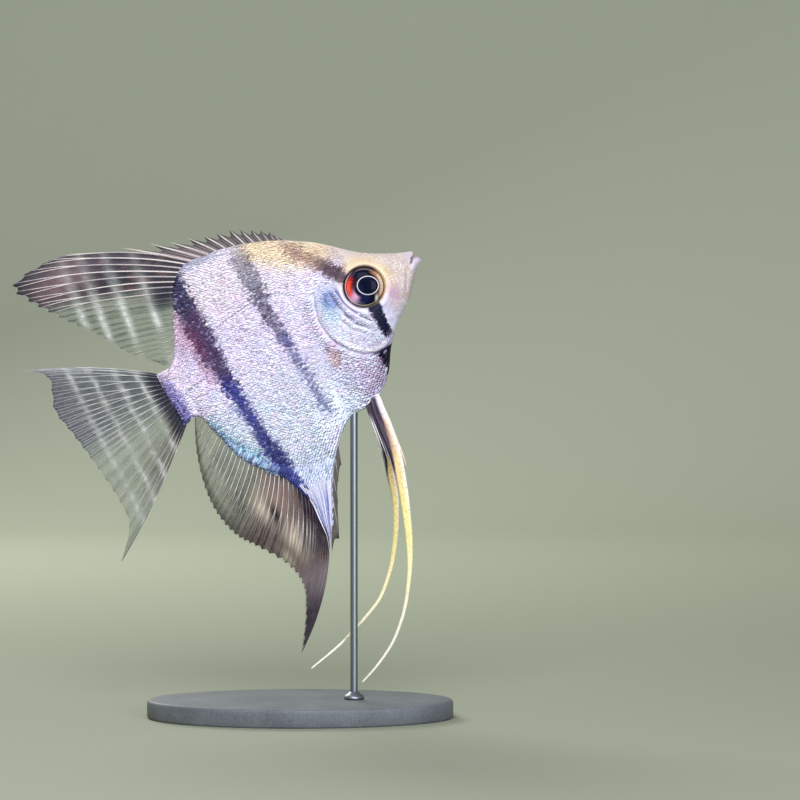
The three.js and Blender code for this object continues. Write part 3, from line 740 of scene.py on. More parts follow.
def seen_colour(x, z, size, angle, rng):
    """Each scale shows the skin's colour under its middle, a little jittered; some duller, some with a painted glint.
    """
    shown = 1.5 * size[:, None] * np.stack([-np.cos(angle), np.sin(angle)], -1)
    flecks = rng.normal(1.07, 0.07, (len(x), 1)) - 0.26 * (rng.random((len(x), 1)) < 0.12)
    shown = shown + rng.normal(0, 1, shown.shape) * (size * (0.65 - 0.25 * ramp(x, 61, 67)))[:, None]
    tint = markings_and_painted_light(x + shown[:, 0], z + shown[:, 1]) * flecks * rng.normal(1, 0.028, (len(x), 3))
    # Painted glint: a share of the body's scales in dark paint are lightened towards pale blue.
    painted_glint = 0.34 * rng.random(len(x)) * (rng.random(len(x)) < 0.22) * (size > 0.8) * ramp(x, 66, 60)
    return np.clip(coats(tint, ("#C8CCF4", painted_glint, (tint.mean(1), 0.45, 0.2))), 0, 1)


def plant_side(name, side):
    x, z, size = SPOTS
    normal, angle = outward(x, z, side), lie_angle(x, z)
    lie = np.stack([-np.cos(angle), np.zeros_like(x), np.sin(angle)], -1)
    lie -= normal * np.sum(lie * normal, -1, keepdims=True)
    lie /= np.linalg.norm(lie, axis=-1, keepdims=True)
    normal, lie = turn_to_world(normal), turn_to_world(lie)
    turns = [Matrix(np.column_stack(axes).tolist()).to_euler() for axes in zip(lie, np.cross(normal, lie), normal)]
    mesh = bpy.data.meshes.new(name)
    mesh.from_pydata(to_world(np.stack([x, side * (thickness(x, z) - 1.02 * COAT_DEPTH), z], -1)).tolist(), [], [])
    spread = 0.5 - side * 0.25 * (0.06 + 0.9 * (z - BELLY(x)) / (BACK(x) - BELLY(x)))
    set_values(mesh, "root_uv", "FLOAT_VECTOR", np.stack([0.02 + 0.95 * (x + 6) / 107, spread, np.zeros_like(x)], -1))
    set_values(mesh, "lie", "FLOAT_VECTOR", turns)
    set_values(mesh, "size", "FLOAT", size)
    set_tint(mesh, seen_colour(x, z, size, angle, np.random.default_rng(7)))
    run_tree(name, mesh, PLANTING, {
        "Scale shape": ONE_SCALE, "Length": 2.0 * UNIT, "Width": 1.2 * UNIT, "Uneven tilt": 0.014,
        "Uneven size": 0.12, "Patch width": 0.003, "Seed": 4, "Finish": SCALES},
        ("lie", "root_uv", "size", "patch"))


for side_name, hand in SIDES:
    plant_side("scales_" + side_name, hand)

# %% [markdown]
# ## The eyes
# The eye is the liveliest part: a dark pupil in a thin bright ring, an iris that is gold in front, black above
# and red behind, and a clear bulging cornea. Here it is one dome under a gloss coat, painted by radius and
# angle, which keeps the iris bright; a glass cornea over it would darken it. A turned-in rim of skin holds it.

# %% Paint of the iris
PUPIL = dict(ahead=1.35, up=0.45, long=3.6, short=3.1)


def wedge(angle, middle, half, soft=9):
    """How far an angle in degrees lies inside a sector."""
    off = np.abs((angle - middle + 180) % 360 - 180)
    return ramp(off, half + soft, half - soft)


def seen_level(x, z):
    """How far a place is ahead of and above the eye's middle as the fish hovers, and in radii of the pupil."""
    dx, dz = x - EYE["x"], z - EYE["z"]
    ahead, up = dx * COS_UP - dz * SIN_UP, dx * SIN_UP + dz * COS_UP
    return ahead, up, np.hypot((ahead - PUPIL["ahead"]) / PUPIL["long"], (up - PUPIL["up"]) / PUPIL["short"])


def iris_paint(x, z):
    """The eye's colour by radius and by the angle above the level of the stand, and a painted highlight."""
    ahead, up, pupil = seen_level(x, z)
    r, angle = np.hypot(ahead, up), np.degrees(np.arctan2(up, ahead)) % 360
    fibre = 0.5 + 0.25 * np.sin(angle * 1.1) + 0.25 * np.sin(angle * 0.61 + 2)
    crescent = wedge(angle, 184, 32, 20)
    return coats(
        "#0B0F24",
        ("#171C40", wedge(angle, 268, 26, 14), (r, 6.2, 5.0)),
        ("#8C88BC", 0.35, wedge(angle, 252, 14, 14), bell(r, 5.9, 0.4)),
        ("#4C4658", 0.7, wedge(angle, 138, 12, 12), bell(r, 5.9, 0.45)),
        ("#8A7C74", 0.6, wedge(angle, 85, 34, 14), bell(r, 6.3, 0.25)),
        ("#35202A", wedge(angle, 165, 22, 16), (r, 4.7, 3.8)),
        ("#7A5468", 0.7, wedge(angle, 200, 16, 16), (r, 3.2, 3.8), (r, 5.2, 4.4)),
        ("#DCAECB", wedge(angle, 226, 18, 16), (r, 3.4, 4.4)),
        ("#D83A2A", crescent, (r + 0.25 * np.sin(angle * 0.4), 4.0, 5.2), (r, 6.7, 6.3)),
        ("#FF8466", 0.8, fibre, wedge(angle, 190, 22, 20), (r, 4.6, 5.6), (r, 6.5, 6.0)),
        ("#6E4632", wedge(angle, 8, 42, 18), (r, 4.9, 5.4)),
        ("#D8BC9C", 0.6 + 0.4 * fibre, wedge(angle, 8, 38, 16), (r, 5.4, 6.1), (r, 6.95, 6.6)),
        ("#F0DEC0", 0.7, fibre, wedge(angle, 22, 24, 16), (r, 5.6, 6.3), (r, 6.95, 6.4)),
        ("#B88050", 0.6, wedge(angle, 56, 10, 12), (r, 5.0, 5.6), (r, 6.8, 6.2)),
        # A pale streak low in front of the iris is a painted highlight.
        ("#DAD8CC", 0.9, wedge(angle + 9 * (r - 6.0), 318, 6, 6), bell(r, 6.0, 0.8)),
        ("#FBE9E6", 0.95, wedge(angle, 208, 66, 20), bell(r, 6.72, 0.13)),
        ("#D9CDA8", 0.7, wedge(angle, 285, 24, 18), bell(r, 6.62, 0.15)),
        ("#2A1A18", (r, 6.9, 7.1), 1 - 0.7 * wedge(angle, 350, 50, 20)),
        ("#FFFAF8", bell(pupil, 1.05, 0.036)),
        ("#090E24", (pupil, 1.02, 0.97)),
        ("#142448", 0.6, (pupil, 1, 0.9), wedge(angle, 200, 60, 30), (pupil, 0.3, 0.9)))


print("iris behind the pupil:", np.round(iris_paint(np.array([72.6]), np.array([3.6])), 2))

# %% Eyeballs and their rims
AROUND_EYE = 160


def wet_eye():
    """Painted eye under a thick gloss coat."""
    eye, tree = new_material("gloss_coated_painted_eye")
    paint = add(tree, "ShaderNodeAttribute", attribute_name="tint")
    place = add(tree, "ShaderNodeTexCoord", None, "Object")
    grain = add(tree, "ShaderNodeTexNoise", {"Vector": place, "Scale": 5200.0, "Detail": 2.0})
    shade = add(tree, "ShaderNodeMapRange", {
        "Value": grain, "From Min": 0.3, "From Max": 0.7, "To Min": 0.86, "To Max": 1.1})
    mottled = add(tree, "ShaderNodeVectorMath", {0: paint, "Scale": shade}, operation="SCALE")
    surface = add(tree, "ShaderNodeBsdfPrincipled", {
        "Base Color": mottled, "Roughness": 0.3, "Specular IOR Level": 0.03, "Coat Weight": 0.04,
        "Coat Roughness": 0.08, "IOR": 1.4})
    finish_material(tree, surface)
    return eye


def around_eye(radii):
    """Places on rings round the eye's middle, ring by ring."""
    angle = np.linspace(0, 2 * np.pi, AROUND_EYE, endpoint=False)
    return EYE["x"] + radii[:, None] * np.cos(angle), EYE["z"] + radii[:, None] * np.sin(angle)


def eye_level():
    """Half the body's thickness at the eye's middle."""
    return float(plain_thickness(np.array(EYE["x"]), np.array(EYE["z"])))


def eyeball(name, side, material):
    middle, radii = eye_level() - EYE["sunk"], EYE["rim"] * np.sin(np.linspace(0.02, 1, 76) * np.pi / 2) ** 0.85
    x, z = around_eye(radii)
    height = (EYE["depth"] - 0.08) * np.sqrt(np.clip(1 - (radii / EYE["rim"]) ** 2.6, 0, 1))
    front = np.stack([x, middle + height[:, None] + 0.05 * bell(seen_level(x, z)[2], 1.05, 0.06), z], -1)
    radii = EYE["rim"] * np.cos(np.linspace(0, 1, 12)[1:-1] * np.pi / 2)
    xb, zb = around_eye(radii)
    depth = (EYE["depth"] - 0.2) * np.sqrt(1 - (radii / EYE["rim"]) ** 2)
    rear = np.stack([xb, middle - depth[:, None] + 0 * xb, zb], -1)
    poles = [[EYE["x"], middle + EYE["depth"] - 0.08, EYE["z"]], [EYE["x"], middle - EYE["depth"] + 0.2, EYE["z"]]]
    points = np.concatenate([front.reshape(-1, 3), rear.reshape(-1, 3), poles]) * [1, side, 1]
    paint = iris_paint(x, z).reshape(-1, 3)
    paint = np.concatenate([paint, np.tile(linear("#20140F"), (rear[..., 0].size, 1)), paint[:1], paint[:1] * 0])
    faces = facing_out(points, tube_faces(len(front) + len(rear), AROUND_EYE, capped=True))
    ball = new_piece(name, points, faces, material, paint)
    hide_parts(name.replace("eyeball", "eye"))


def eye_rim(name, side):
    """The turned-in edge of the skin round the eye, with a groove inside it painted dark as shade."""
    radii = np.array([6.9, 7.05, 7.2, 7.35, 7.5, 7.65, 7.8, 7.95, 8.1, 8.3, 8.5, 8.75, 9.0, 9.3, 9.6, 9.9, 9.95])
    level = np.interp(radii, [6.9, 7.2, 7.5, 7.9, 8.4, 9.2, 9.9, 9.95],
                      [-1.15, -0.85, -0.5, -0.05, 0.1, 0.06, 0.03, -0.35])
    x, z = around_eye(radii)
    share, r = ramp(radii, 7.0, 8.2)[:, None], radii[:, None]
    y = (thickness(x, z) - COAT_DEPTH) * share + eye_level() * (1 - share) + level[:, None]
    ahead, up, _ = seen_level(x, z)
    angle = np.degrees(np.arctan2(up, ahead)) % 360
    paint = coats(
        markings_and_painted_light(x, z),
        # The groove is painted dark as shade in it, brown, olive and tan by the angle round the eye.
        *[(colour, (r, 7.85, 7.45), wedge(angle, middle, half, 14)) for colour, middle, half in (
            ("#3A2722", 180, 50), ("#5C5A48", 275, 48), ("#4C3B30", 95, 45), ("#9C7C50", 5, 52))],
        ("#EFE0BC", 0.5, bell(r, 8.3, 0.45), wedge(angle, 50, 80, 30)),
        # Low behind the eye: a painted highlight on the raised rim, and a dark line outside it as painted shade of a
        # crease.
        ("#F2EBF2", 0.8, bell(r, 8.5, 0.35), wedge(angle, 222, 34, 16)),
        ("#6A5A70", 0.7, bell(r, 9.3, 0.3), wedge(angle, 222, 36, 16)),
        ("#0B1030", (r, 7.6, 8.0), wedge(angle, 297, 16, 3)))
    points = np.stack([x, y, z], -1)
    points = np.concatenate([points, points[[-1, 0]] - [0, 0.8, 0]]).reshape(-1, 3) * [1, side, 1]
    paint = np.concatenate([paint, paint[[-1, 0]]]).reshape(-1, 3)
    faces = facing_out(points, tube_faces(len(radii) + 2, AROUND_EYE, capped=False))
    new_piece(name, points, faces, SKIN, paint)


EYE_FINISH = wet_eye()
for side_name, hand in SIDES:
    eyeball("eyeball_" + side_name, hand, EYE_FINISH)
    eye_rim("eye_rim_" + side_name, hand)

# %% [markdown]
# ## How a fin is drawn
# A fin is a fan of jointed rays with a web between them. Each fin is written as two smooth curves, the feet
# of its rays along the body and their tips along the margin, so any place on it has two coordinates: how far
# across the fan and how far along a ray. Web, rays and paint all use these two, and always agree.

# %% Fans


def spline(points):
    """A smooth curve through points evenly spread over its parameter, from 0 to 1."""
    p = np.array(points, float)
    padded = np.concatenate([p[:1], p, p[-1:]])

    def at(t):
        t = np.asarray(t, float) * (len(p) - 1)
        i = np.clip(t.astype(int), 0, len(p) - 2)
        w = (t - i)[..., None]
        a, b, c, d = (padded[i + k] for k in range(4))
        into, out = (c - a) / 2, (d - b) / 2
        return (2 * b - 2 * c + into + out) * w**3 + (3 * c - 3 * b - 2 * into - out) * w**2 + into * w + b

    return at


DORSAL = dict(
    feet=[(29, 37.5), (26, 37), (23.2, 36), (20.5, 34), (18.3, 31), (16, 27.5), (13.3, 22.5), (10, 16), (5.5, 9.5)],
    tips=[(-13, 62.6), (-24.5, 63.2), (-33.8, 60.9), (-30.7, 53.4), (-26.3, 46.8), (-21, 39.5), (-14, 30.5),
          (-8, 20.5), (1, 11)],
    bow=(0.1, 0.0), sway=4,
    rays=np.interp(np.arange(24), [0, 3, 5, 8, 11, 15, 19, 23], [0, 0.235, 0.37, 0.56, 0.70, 0.84, 0.95, 1]))
DORSAL_SPINES = dict(
    feet=[(61, 29.3), (59.2, 30.2), (57.4, 31.1), (55.4, 32), (53.2, 32.8), (50.6, 33.6), (47.6, 34.5), (44.4, 35.4),
          (41, 36.3), (37.6, 37.2), (34.4, 37.7), (31.4, 38), (29, 37.5)],
    tips=[(59, 31.6), (58, 33.3), (57.1, 34.9), (54.6, 36.8), (51.7, 38.7), (48.3, 40.6), (44.8, 42.6), (40.1, 43.8),
          (35.5, 45.2), (30.3, 46.7), (24.1, 48.3), (17.4, 51.2), (8, 54.7)],
    bow=(0.0, 0.02), sway=1.2, rays=np.linspace(0, 1, 13))
ANAL = dict(
    feet=[(34, -46.5), (31, -46.3), (28, -45.5), (24.5, -43.5), (20.5, -40), (16.5, -35.5), (13, -29.5),
          (10.3, -22.5), (8, -15.5), (4.5, -10)],
    tips=[(-4.3, -104.2), (3.5, -92.5), (7.4, -84), (6.5, -74.5), (0, -63.5), (-5, -56), (-7.4, -46.4), (-7, -36),
          (-3.6, -23), (1.7, -11.6)],
    bow=(-0.19, -0.02), sway=5, rays=np.linspace(0, 1, 38))
ANAL_SPINES = dict(
    feet=[(44, -42), (41, -44), (38, -45.6), (36, -46.2), (34, -46.5)],
    tips=[(40.4, -51.2), (36.9, -55.5), (33, -62.4), (27, -74.7), (22.4, -77.9)],
    bow=(0.0, -0.04), sway=1.5, rays=np.linspace(0, 1, 5))
TAIL = dict(
    feet=[(-1.6, 8.4), (-0.6, 3.5), (-0.4, -1.7), (-0.6, -6.9), (-1.6, -12)],
    tips=[(-43.5, 32.5), (-37, 26), (-40.5, 15), (-39, 5), (-37.6, -4), (-36.3, -14), (-35.5, -24), (-36.5, -34),
          (-45, -44.2)],
    bow=(0.07, -0.05), sway=-3, rays=np.linspace(0, 1, 18))


def fan(fin, share, along):
    """The place on a fin at a share across its fan and along its ray, in fish units."""
    share, along = np.broadcast_arrays(np.asarray(share, float), np.asarray(along, float))
    foot, tip = spline(fin["feet"])(share), spline(fin["tips"])(share)
    bow = fin["bow"][0] + (fin["bow"][1] - fin["bow"][0]) * share
    across = np.stack([tip[..., 1] - foot[..., 1], foot[..., 0] - tip[..., 0]], -1) * bow[..., None]
    t = along[..., None]
    flat = foot * (1 - t) ** 2 + 2 * ((foot + tip) / 2 + across) * t * (1 - t) + tip * t * t
    return np.stack([flat[..., 0], fin["sway"] * along**2, flat[..., 1]], -1)


def grain(seed, count=512):
    """Smooth random numbers round a line from 0 to 1: a streak for each place across a fan."""
    rng = np.random.default_rng(seed)
    values = rng.normal(0, 1, count)
    return lambda t: np.interp(np.asarray(t) * (count - 1), np.arange(count), values)


print("dorsal fin's longest ray ends at", np.round(fan(DORSAL, 0.25, 1.0), 1).tolist())

# %% [markdown]
# ## Webs
# The web is a film a tenth of a millimetre thick, closed all round, that sags a little between its rays and
# ends in small scallops. How much it hides is painted on it: dark smoky parts cover most of what is behind,
# the clear rear parts almost nothing.

# %% Film


def painted_film():
    """Clear film with its paint: its colour and cover come with the mesh, the cover a little cloudy."""
    film, tree = new_material("clear_painted_film")
    paint = add(tree, "ShaderNodeAttribute", attribute_name="tint")
    cover = add(tree, "ShaderNodeAttribute", None, "Fac", attribute_name="cover")
    place = add(tree, "ShaderNodeTexCoord", None, "Object")
    cloud = add(tree, "ShaderNodeTexNoise", {"Vector": place, "Scale": 900.0, "Detail": 3.0})
    fine = add(tree, "ShaderNodeTexNoise", {"Vector": place, "Scale": 3800.0, "Detail": 1.0})
    uneven = add(tree, "ShaderNodeMapRange", {
        "Value": cloud, "From Min": 0.3, "From Max": 0.7, "To Min": 0.8, "To Max": 1.15})
    alpha = add(tree, "ShaderNodeMath", {0: cover, 1: uneven}, operation="MULTIPLY", use_clamp=True)
    surface = add(tree, "ShaderNodeBsdfPrincipled", {
        "Base Color": paint, "Roughness": 0.42, "IOR": 1.4, "Specular IOR Level": 0.35, "Alpha": alpha})
    finish_material(tree, surface, Height=fine, Strength=0.25, Distance=0.00002)
    return film


FILM = painted_film()
print("made", FILM.name)


def shell(name, grid, half, paint, cover):
    """A closed sheet of film: a grid of places with a half thickness, given a front, a back and a wall round them."""
    rows, columns = grid.shape[:2]
    off = np.zeros_like(grid)
    off[..., 1] = half
    points = np.concatenate([(grid + off).reshape(-1, 3), (grid - off).reshape(-1, 3)])
    front, count = grid_faces(rows, columns), rows * columns
    ids = np.arange(count).reshape(rows, columns)
    loop = np.concatenate([ids[0, :-1], ids[:-1, -1], ids[-1, :0:-1], ids[:0:-1, 0]])
    ahead = np.roll(loop, -1)
    walls = np.stack([loop, loop + count, ahead + count, ahead], -1)
    faces = facing_out(points, np.concatenate([front, front[:, ::-1] + count, walls]).tolist())
    paint = np.broadcast_to(linear(paint) if isinstance(paint, str) else paint, grid.shape).reshape(-1, 3)
    cover = np.broadcast_to(cover, grid.shape[:2]).ravel()
    return new_piece(name, points, faces, FILM, np.tile(paint, (2, 1)), np.tile(cover, 2))


def web(name, fin, paint, dip, rows=30, reach=1.0, sag=0.14, per_gap=5):
    """The film of one fan. Its edge dips by a share of the ray's length between two rays."""
    shares = fin["rays"]
    index = np.linspace(0, len(shares) - 1, (len(shares) - 1) * per_gap + 1)
    share = np.interp(index, np.arange(len(shares)), shares)
    between = np.abs(np.sin(np.pi * index))
    along = np.linspace(0, 1, rows)[:, None] * (reach - dip * between**1.3)
    grid = fan(fin, share, along)
    grid[..., 1] += sag * between * np.minimum(1, 3 * along)
    tint, cover = paint(grid[..., 0], grid[..., 2], share + 0 * along, along)
    return shell(name, grid, 0.05 * (1.3 - 0.8 * along), tint, cover)

# %% [markdown]
# ## Rays
# A ray is a row of small bony joints, round and tapering, that splits in two and again towards the margin.
# Its course is a line of points with a width and a colour; a second node tree turns all lines of a fin into
# tapered rods at once. Spines are single stiff rays.

# %% Ray tree


def rod_tree():
    tree, given = node_group("lines_to_rods", [("Thickness", "Float", 1.0), ("Sides", "Int", 6)])
    lines = add(tree, "GeometryNodeMeshToCurve", {0: given["Geometry"]})
    width = add(tree, "GeometryNodeInputNamedAttribute", {"Name": "width"}, data_type="FLOAT")
    sized = add(tree, "ShaderNodeMath", {0: width, 1: given["Thickness"]}, operation="MULTIPLY")
    ring = add(tree, "GeometryNodeCurvePrimitiveCircle", {"Resolution": given["Sides"], "Radius": 1.0})
    rods = add(tree, "GeometryNodeCurveToMesh",
               {"Curve": lines, "Profile Curve": ring, "Scale": sized, "Fill Caps": True})
    real = add(tree, "GeometryNodeRealizeInstances", {"Geometry": add(tree, "GeometryNodeSetShadeSmooth", {0: rods})})
    return end_tree(tree, real, given["Finish"])


def painted_rays():
    """Painted rods with a soft gloss and a fine grain."""
    rods, tree = new_material("satin_painted_rays")
    paint = add(tree, "ShaderNodeAttribute", attribute_name="tint")
    place = add(tree, "ShaderNodeTexCoord", None, "Object")
    fleck = add(tree, "ShaderNodeTexNoise", {"Vector": place, "Scale": 2400.0, "Detail": 2.0})
    shade = add(tree, "ShaderNodeMapRange", {
        "Value": fleck, "From Min": 0.3, "From Max": 0.7, "To Min": 0.8, "To Max": 1.1})
    mottled = add(tree, "ShaderNodeVectorMath", {0: paint, "Scale": shade}, operation="SCALE")
    surface = add(tree, "ShaderNodeBsdfPrincipled", {
        "Base Color": mottled, "Roughness": 0.4, "Coat Weight": 0.25, "Coat Roughness": 0.2})
    finish_material(tree, surface, Height=fleck, Strength=0.2, Distance=0.00002)
    return rods


ROD_TREE, RAYS = rod_tree(), painted_rays()


def rods_from(name, lines, sides=6):
    """Lines are (points, widths, colours), in fish units; widths are half of a rod's thickness."""
    points, widths = (np.concatenate([line[k] for line in lines]) for k in (0, 1))
    ends = np.cumsum([len(line[0]) for line in lines])
    mesh = bpy.data.meshes.new(name)
    mesh.from_pydata(to_world(points).tolist(), [(i, i + 1) for i in range(len(points) - 1) if i + 1 not in ends], [])
    set_values(mesh, "width", "FLOAT", widths * UNIT)
    set_tint(mesh, np.clip(np.concatenate([np.broadcast_to(line[2], line[0].shape) for line in lines]), 0, 1))
    return run_tree(name, mesh, ROD_TREE, {"Thickness": 1.0, "Sides": sides, "Finish": RAYS}, ("width",))


def branches(share, gap, splits=(), steps=9):
    """The courses of one ray: its stem, and two arms from each split on, as (share, along) pairs."""
    arms, cuts = [0.0], [*splits, 1.0]
    courses = [(np.full(steps, share), np.linspace(0, cuts[0], steps))]
    for level, (start, end) in enumerate(zip(cuts[:-1], cuts[1:])):
        spread, t = gap * 0.27 * 0.5**level, np.linspace(0, 1, steps)
        ways = [(arm, way * spread) for arm in arms for way in (-1, 1)]
        courses += [(np.clip(share + arm + off * t, 0, 1), start + (end - start) * t) for arm, off in ways]
        arms = [arm + off for arm, off in ways]
    return courses


def draw_rays(name, fin, width, paint, splits=lambda share: (), reach=1.0, wobble=0.0):
    """Every ray of a fan. width(share, along) is in fish units, splits(share) gives where a ray divides."""
    lines = []
    for k, (share, gap) in enumerate(zip(fin["rays"], np.gradient(fin["rays"]))):
        for s, along in branches(share, gap, splits(share)):
            points = fan(fin, s, along * reach)
            points[:, 2] += wobble * np.sin(7 * along + 1.3 * k) * along
            lines.append((points, width(s, along), paint(points[:, 0], points[:, 2], s, along)))
    rods_from(name, lines)

# %% [markdown]
# ## Dorsal fin
# Thirteen short spines stand up in front like a comb, then soft rays sweep back into a point. The upper part
# is smoky with bright rays and pale cross-bands; the rear part is nearly clear.

# %% Dorsal fin
FIN_TONE = 0.62


def beside_ray(fin, share):
    """1 at a ray and 0 halfway to the next: pigment gathers along the rays."""
    return 1 - np.abs(np.sin(np.pi * np.interp(share, fin["rays"], np.arange(len(fin["rays"])))))


def dorsal_bands(x, z, wide):
    """Four pale bands that lean forward towards the body, broken into blotches."""
    band = np.max([bell(x - 0.14 * (z - 31), at, wide) for at in (-17.6, -11, -2.4, 7.5)], 0)
    return band * (0.8 + 0.2 * blotch(x, z, 2.6))


def dorsal_web_paint(x, z, share, along):
    smoky = ramp(share + 0.02 * blotch(x, z, 6), 0.58, 0.4)
    streak = grain(11)(share)
    clear, band = (1 - smoky) * ramp(z, 19, 26), dorsal_bands(x, z, 1.4)
    line = beside_ray(DORSAL, share) * (1 - smoky) * ramp(along, 0.0, 0.15) * (1 - 0.6 * ramp(share, 0.76, 0.95))
    root = patch(x, z, (13.2, 32.4), (6.4, 5), 1.4)
    c = coats(
        "#B9C4AE",
        ("#7E8A7A", np.clip(0.3 + 0.4 * streak, 0, 1)),
        ("#3F3C47", smoky),
        ("#B8949A", 0.85, patch(x, z, (-17, 54), (10, 6)), 0.75 + 0.25 * blotch(x, z, 3)),
        ("#8C6668", 0.55, smoky, (blotch(x + 4, z, 4), 0.1, 0.8), (x, -16, -8)),
        ("#181A28", 0.4, smoky, patch(x, z, (-2, 42), (12, 5))),
        ("#3E4640", 0.8, line),
        ("#FFFFF4", band, 0.95 * clear + smoky * (0.26 + 0.3 * ramp(share, 0.15, 0.4))))
    c = FIN_TONE * coats(c, ("#141630", 0.95, root)) * (1 + 0.35 * band * clear)[..., None]
    cover = 0.2 - 0.1 * ramp(share, 0.76, 0.95) + 0.67 * smoky + 0.07 * streak + 0.25 * line
    cover = cover + 0.66 * band * clear + 0.75 * root
    return c, np.clip(cover, 0.08, 0.94)


def dorsal_ray_paint(x, z, share, along):
    c = coats(
        "#F3E6DE",
        ("#8A9486", (share, 0.44, 0.62)),
        ("#FBFAEE", 0.85, dorsal_bands(x, z, 1.6)),
        ("#3A3840", 0.8, (along, 0.9, 1.0), (share, 0.6, 0.4)),
        ("#A79AA0", 0.6, (grain(17)(share), 0.2, 1.0), (share, 0.5, 0.4)))
    return 0.85 * coats(c, ("#2C2A48", 0.8, patch(x, z, (13.2, 32.4), (6.4, 5))))


def spine_web_paint(x, z, share, along):
    c = coats("#3A3840", ("#8A7C7C", np.clip(0.35 + 0.3 * grain(5)(share), 0, 1), share))
    return FIN_TONE * coats(c, ("#1F1D26", 0.8, (along, 0.4, 0.8))), np.full(np.shape(x), 0.78)


def spine_ray_paint(x, z, share, along):
    c = coats(
        "#A79C98",
        ("#EFE2D8", (share, 0.15, 0.6)),
        ("#A98C94", 0.5, (along, 0.7, 0.2), (share, 0.3, 0.6)))
    return 0.8 * coats(c, ("#2E2B30", 0.85, (along, 0.62, 0.95), (share, 0.85, 0.35)))


film = web("dorsal_web", DORSAL, dorsal_web_paint, dip=0.035)
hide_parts("dorsal_fin")
web("dorsal_spine_web", DORSAL_SPINES, spine_web_paint, dip=0.38, reach=0.94, rows=14, sag=0.1)
draw_rays("dorsal_rays", DORSAL, lambda s, a: (0.33 - 0.18 * ramp(s, 0.42, 0.62)) * (1.05 - 0.7 * a),
          dorsal_ray_paint, splits=lambda s: (0.66,) if s < 0.5 else (0.42, 0.74), wobble=0.3)
between_spines = dict(DORSAL_SPINES, rays=(np.arange(12)[:, None] + [0.33, 0.68]).ravel() / 12)
draw_rays("dorsal_streaks", between_spines, lambda s, a: (0.1 + 0.12 * s) * (1.04 - a),
          lambda x, z, s, a: 0.8 * coats(spine_ray_paint(x, z, s, a), ("#6A6268", 0.4)), reach=0.72)
draw_rays("dorsal_spines", DORSAL_SPINES, lambda s, a: (0.3 + 0.26 * s) * (1.04 - a**2), spine_ray_paint)

# %% [markdown]
# ## Anal fin
# Its foot runs down the scaly lobe and its front rays are drawn out into a long dark point. White rays comb
# through a smoky brown web that clears towards the rear margin; a few short spines notch the front edge.

# %% Anal fin


def anal_web_paint(x, z, share, along):
    streak, slow = grain(21)(share), grain(26, 64)(share)
    dashes = np.sin(13 * along + 5 * slow) * 0.5 + 0.5
    rear = ramp(share, 0.45, 0.72)
    line = beside_ray(ANAL, share)
    warm = np.max([patch(x, z, (13.2, -66.5), (3.6, 9)), 0.8 * patch(x, z, (8, -52.5), (2.6, 6)),
                   0.7 * patch(x, z, (7.5, -72), (2.6, 5))], 0)
    from_lobe = 22.2 + 0.26 * (-46 - z) - x
    reach = np.interp(z, [-72, -64, -56, -50], [6.5, 6.0, 3.2, 1.5])
    front = 0.9 * ramp(share + 0.05 * slow, 0.3, 0.15) * ramp(along, 1.0, 0.7)
    plum = np.maximum(ramp(from_lobe - reach + slow, 1.4, -1.4), front) * ramp(z, -82, -70)
    border = ramp(along, 0.8, 0.97) * rear
    cover = 0.82 - 0.62 * rear + 0.16 * line * rear + 0.12 * streak * (0.4 + 0.6 * rear) + 0.42 * border
    cover = cover + rear * (0.3 * patch(x, z, (4, -31), (5, 6)) + 0.35 * patch(x, z, (3, -46), (5, 8)))
    cover = cover + 0.6 * patch(x, z, (11.2, -55.5), (1.7, 4.4))
    cover = np.maximum(cover, 0.94 * plum)
    c = coats(
        "#80696A",
        ("#1C141C", np.clip(0.32 + 0.4 * streak + 0.2 * slow, 0, 0.95)),
        ("#8E9385", rear),
        ("#1C161A", line, 0.7 - 0.45 * rear),
        ("#FBEBCB", np.clip(0.6 + 0.4 * streak + 0.5 * (dashes - 0.4), 0, 1), warm),
        ("#D8C4A6", 0.7, patch(x, z, (10, -48), (9, 7)), np.clip(0.3 + 0.7 * dashes, 0, 1)),
        ("#C09088", 0.7, patch(x, z, (17, -51), (6, 9)), np.clip(0.6 + 0.5 * streak, 0, 1)),
        ("#120F18", patch(x, z, (11.2, -55.5), (1.7, 4.4)) + 0.6 * patch(x, z, (2, -46), (2.2, 5)) * dashes),
        ("#260F2C", plum),
        ("#B4A8AE", 0.6 + 0.25 * streak, (z, -76, -83)),
        ("#2A2036", 0.85, (z, -85, -93)),
        ("#4C544C", 0.75 * border + 0.6 * rear * patch(x, z, (3, -46), (5, 8))))
    return FIN_TONE * c * (1 + 0.55 * warm)[..., None], np.clip(cover, 0.1, 0.94)


def anal_ray_paint(x, z, share, along):
    c = coats(
        "#8E8078",
        ("#FFFCF8", (share, 0.06, 0.3), (along, 0.9, 0.45)),
        ("#E6E6DA", (share, 0.72, 0.92), (along, 0.9, 0.6)),
        ("#4E2E42", 0.88, (22.2 + 0.26 * (-46 - z) - x, 8.5, 4.5), (z, -46, -53)),
        ("#38203A", 0.97, (share, 0.3, 0.12)),
        ("#96807F", 0.75, (z, -70, -80)))
    return 0.85 * coats(c, ("#342838", 0.9, (z, -80, -92)))


def notch_paint(x, z, share, along):
    c = coats("#6E6560", ("#1C1A20", 0.85, (along, 0.8, 0.97)))
    return FIN_TONE * c, np.full(np.shape(x), 0.74)


film = web("anal_web", ANAL, anal_web_paint, dip=0.03, rows=40)
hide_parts("anal_fin")
web("anal_spine_web", ANAL_SPINES, notch_paint, dip=0.09, reach=0.97, rows=16, sag=0.06)
draw_rays("anal_rays", ANAL, lambda s, a: (0.17 - 0.05 * s) * (1.1 - 0.8 * a), anal_ray_paint,
          splits=lambda s: (0.5, 0.78), wobble=0.2)
draw_rays("anal_spines", ANAL_SPINES, lambda s, a: 0.34 * (1.1 - a),
          lambda x, z, s, a: coats("#A79C92", ("#2A2630", (a, 0.8, 1.0))))

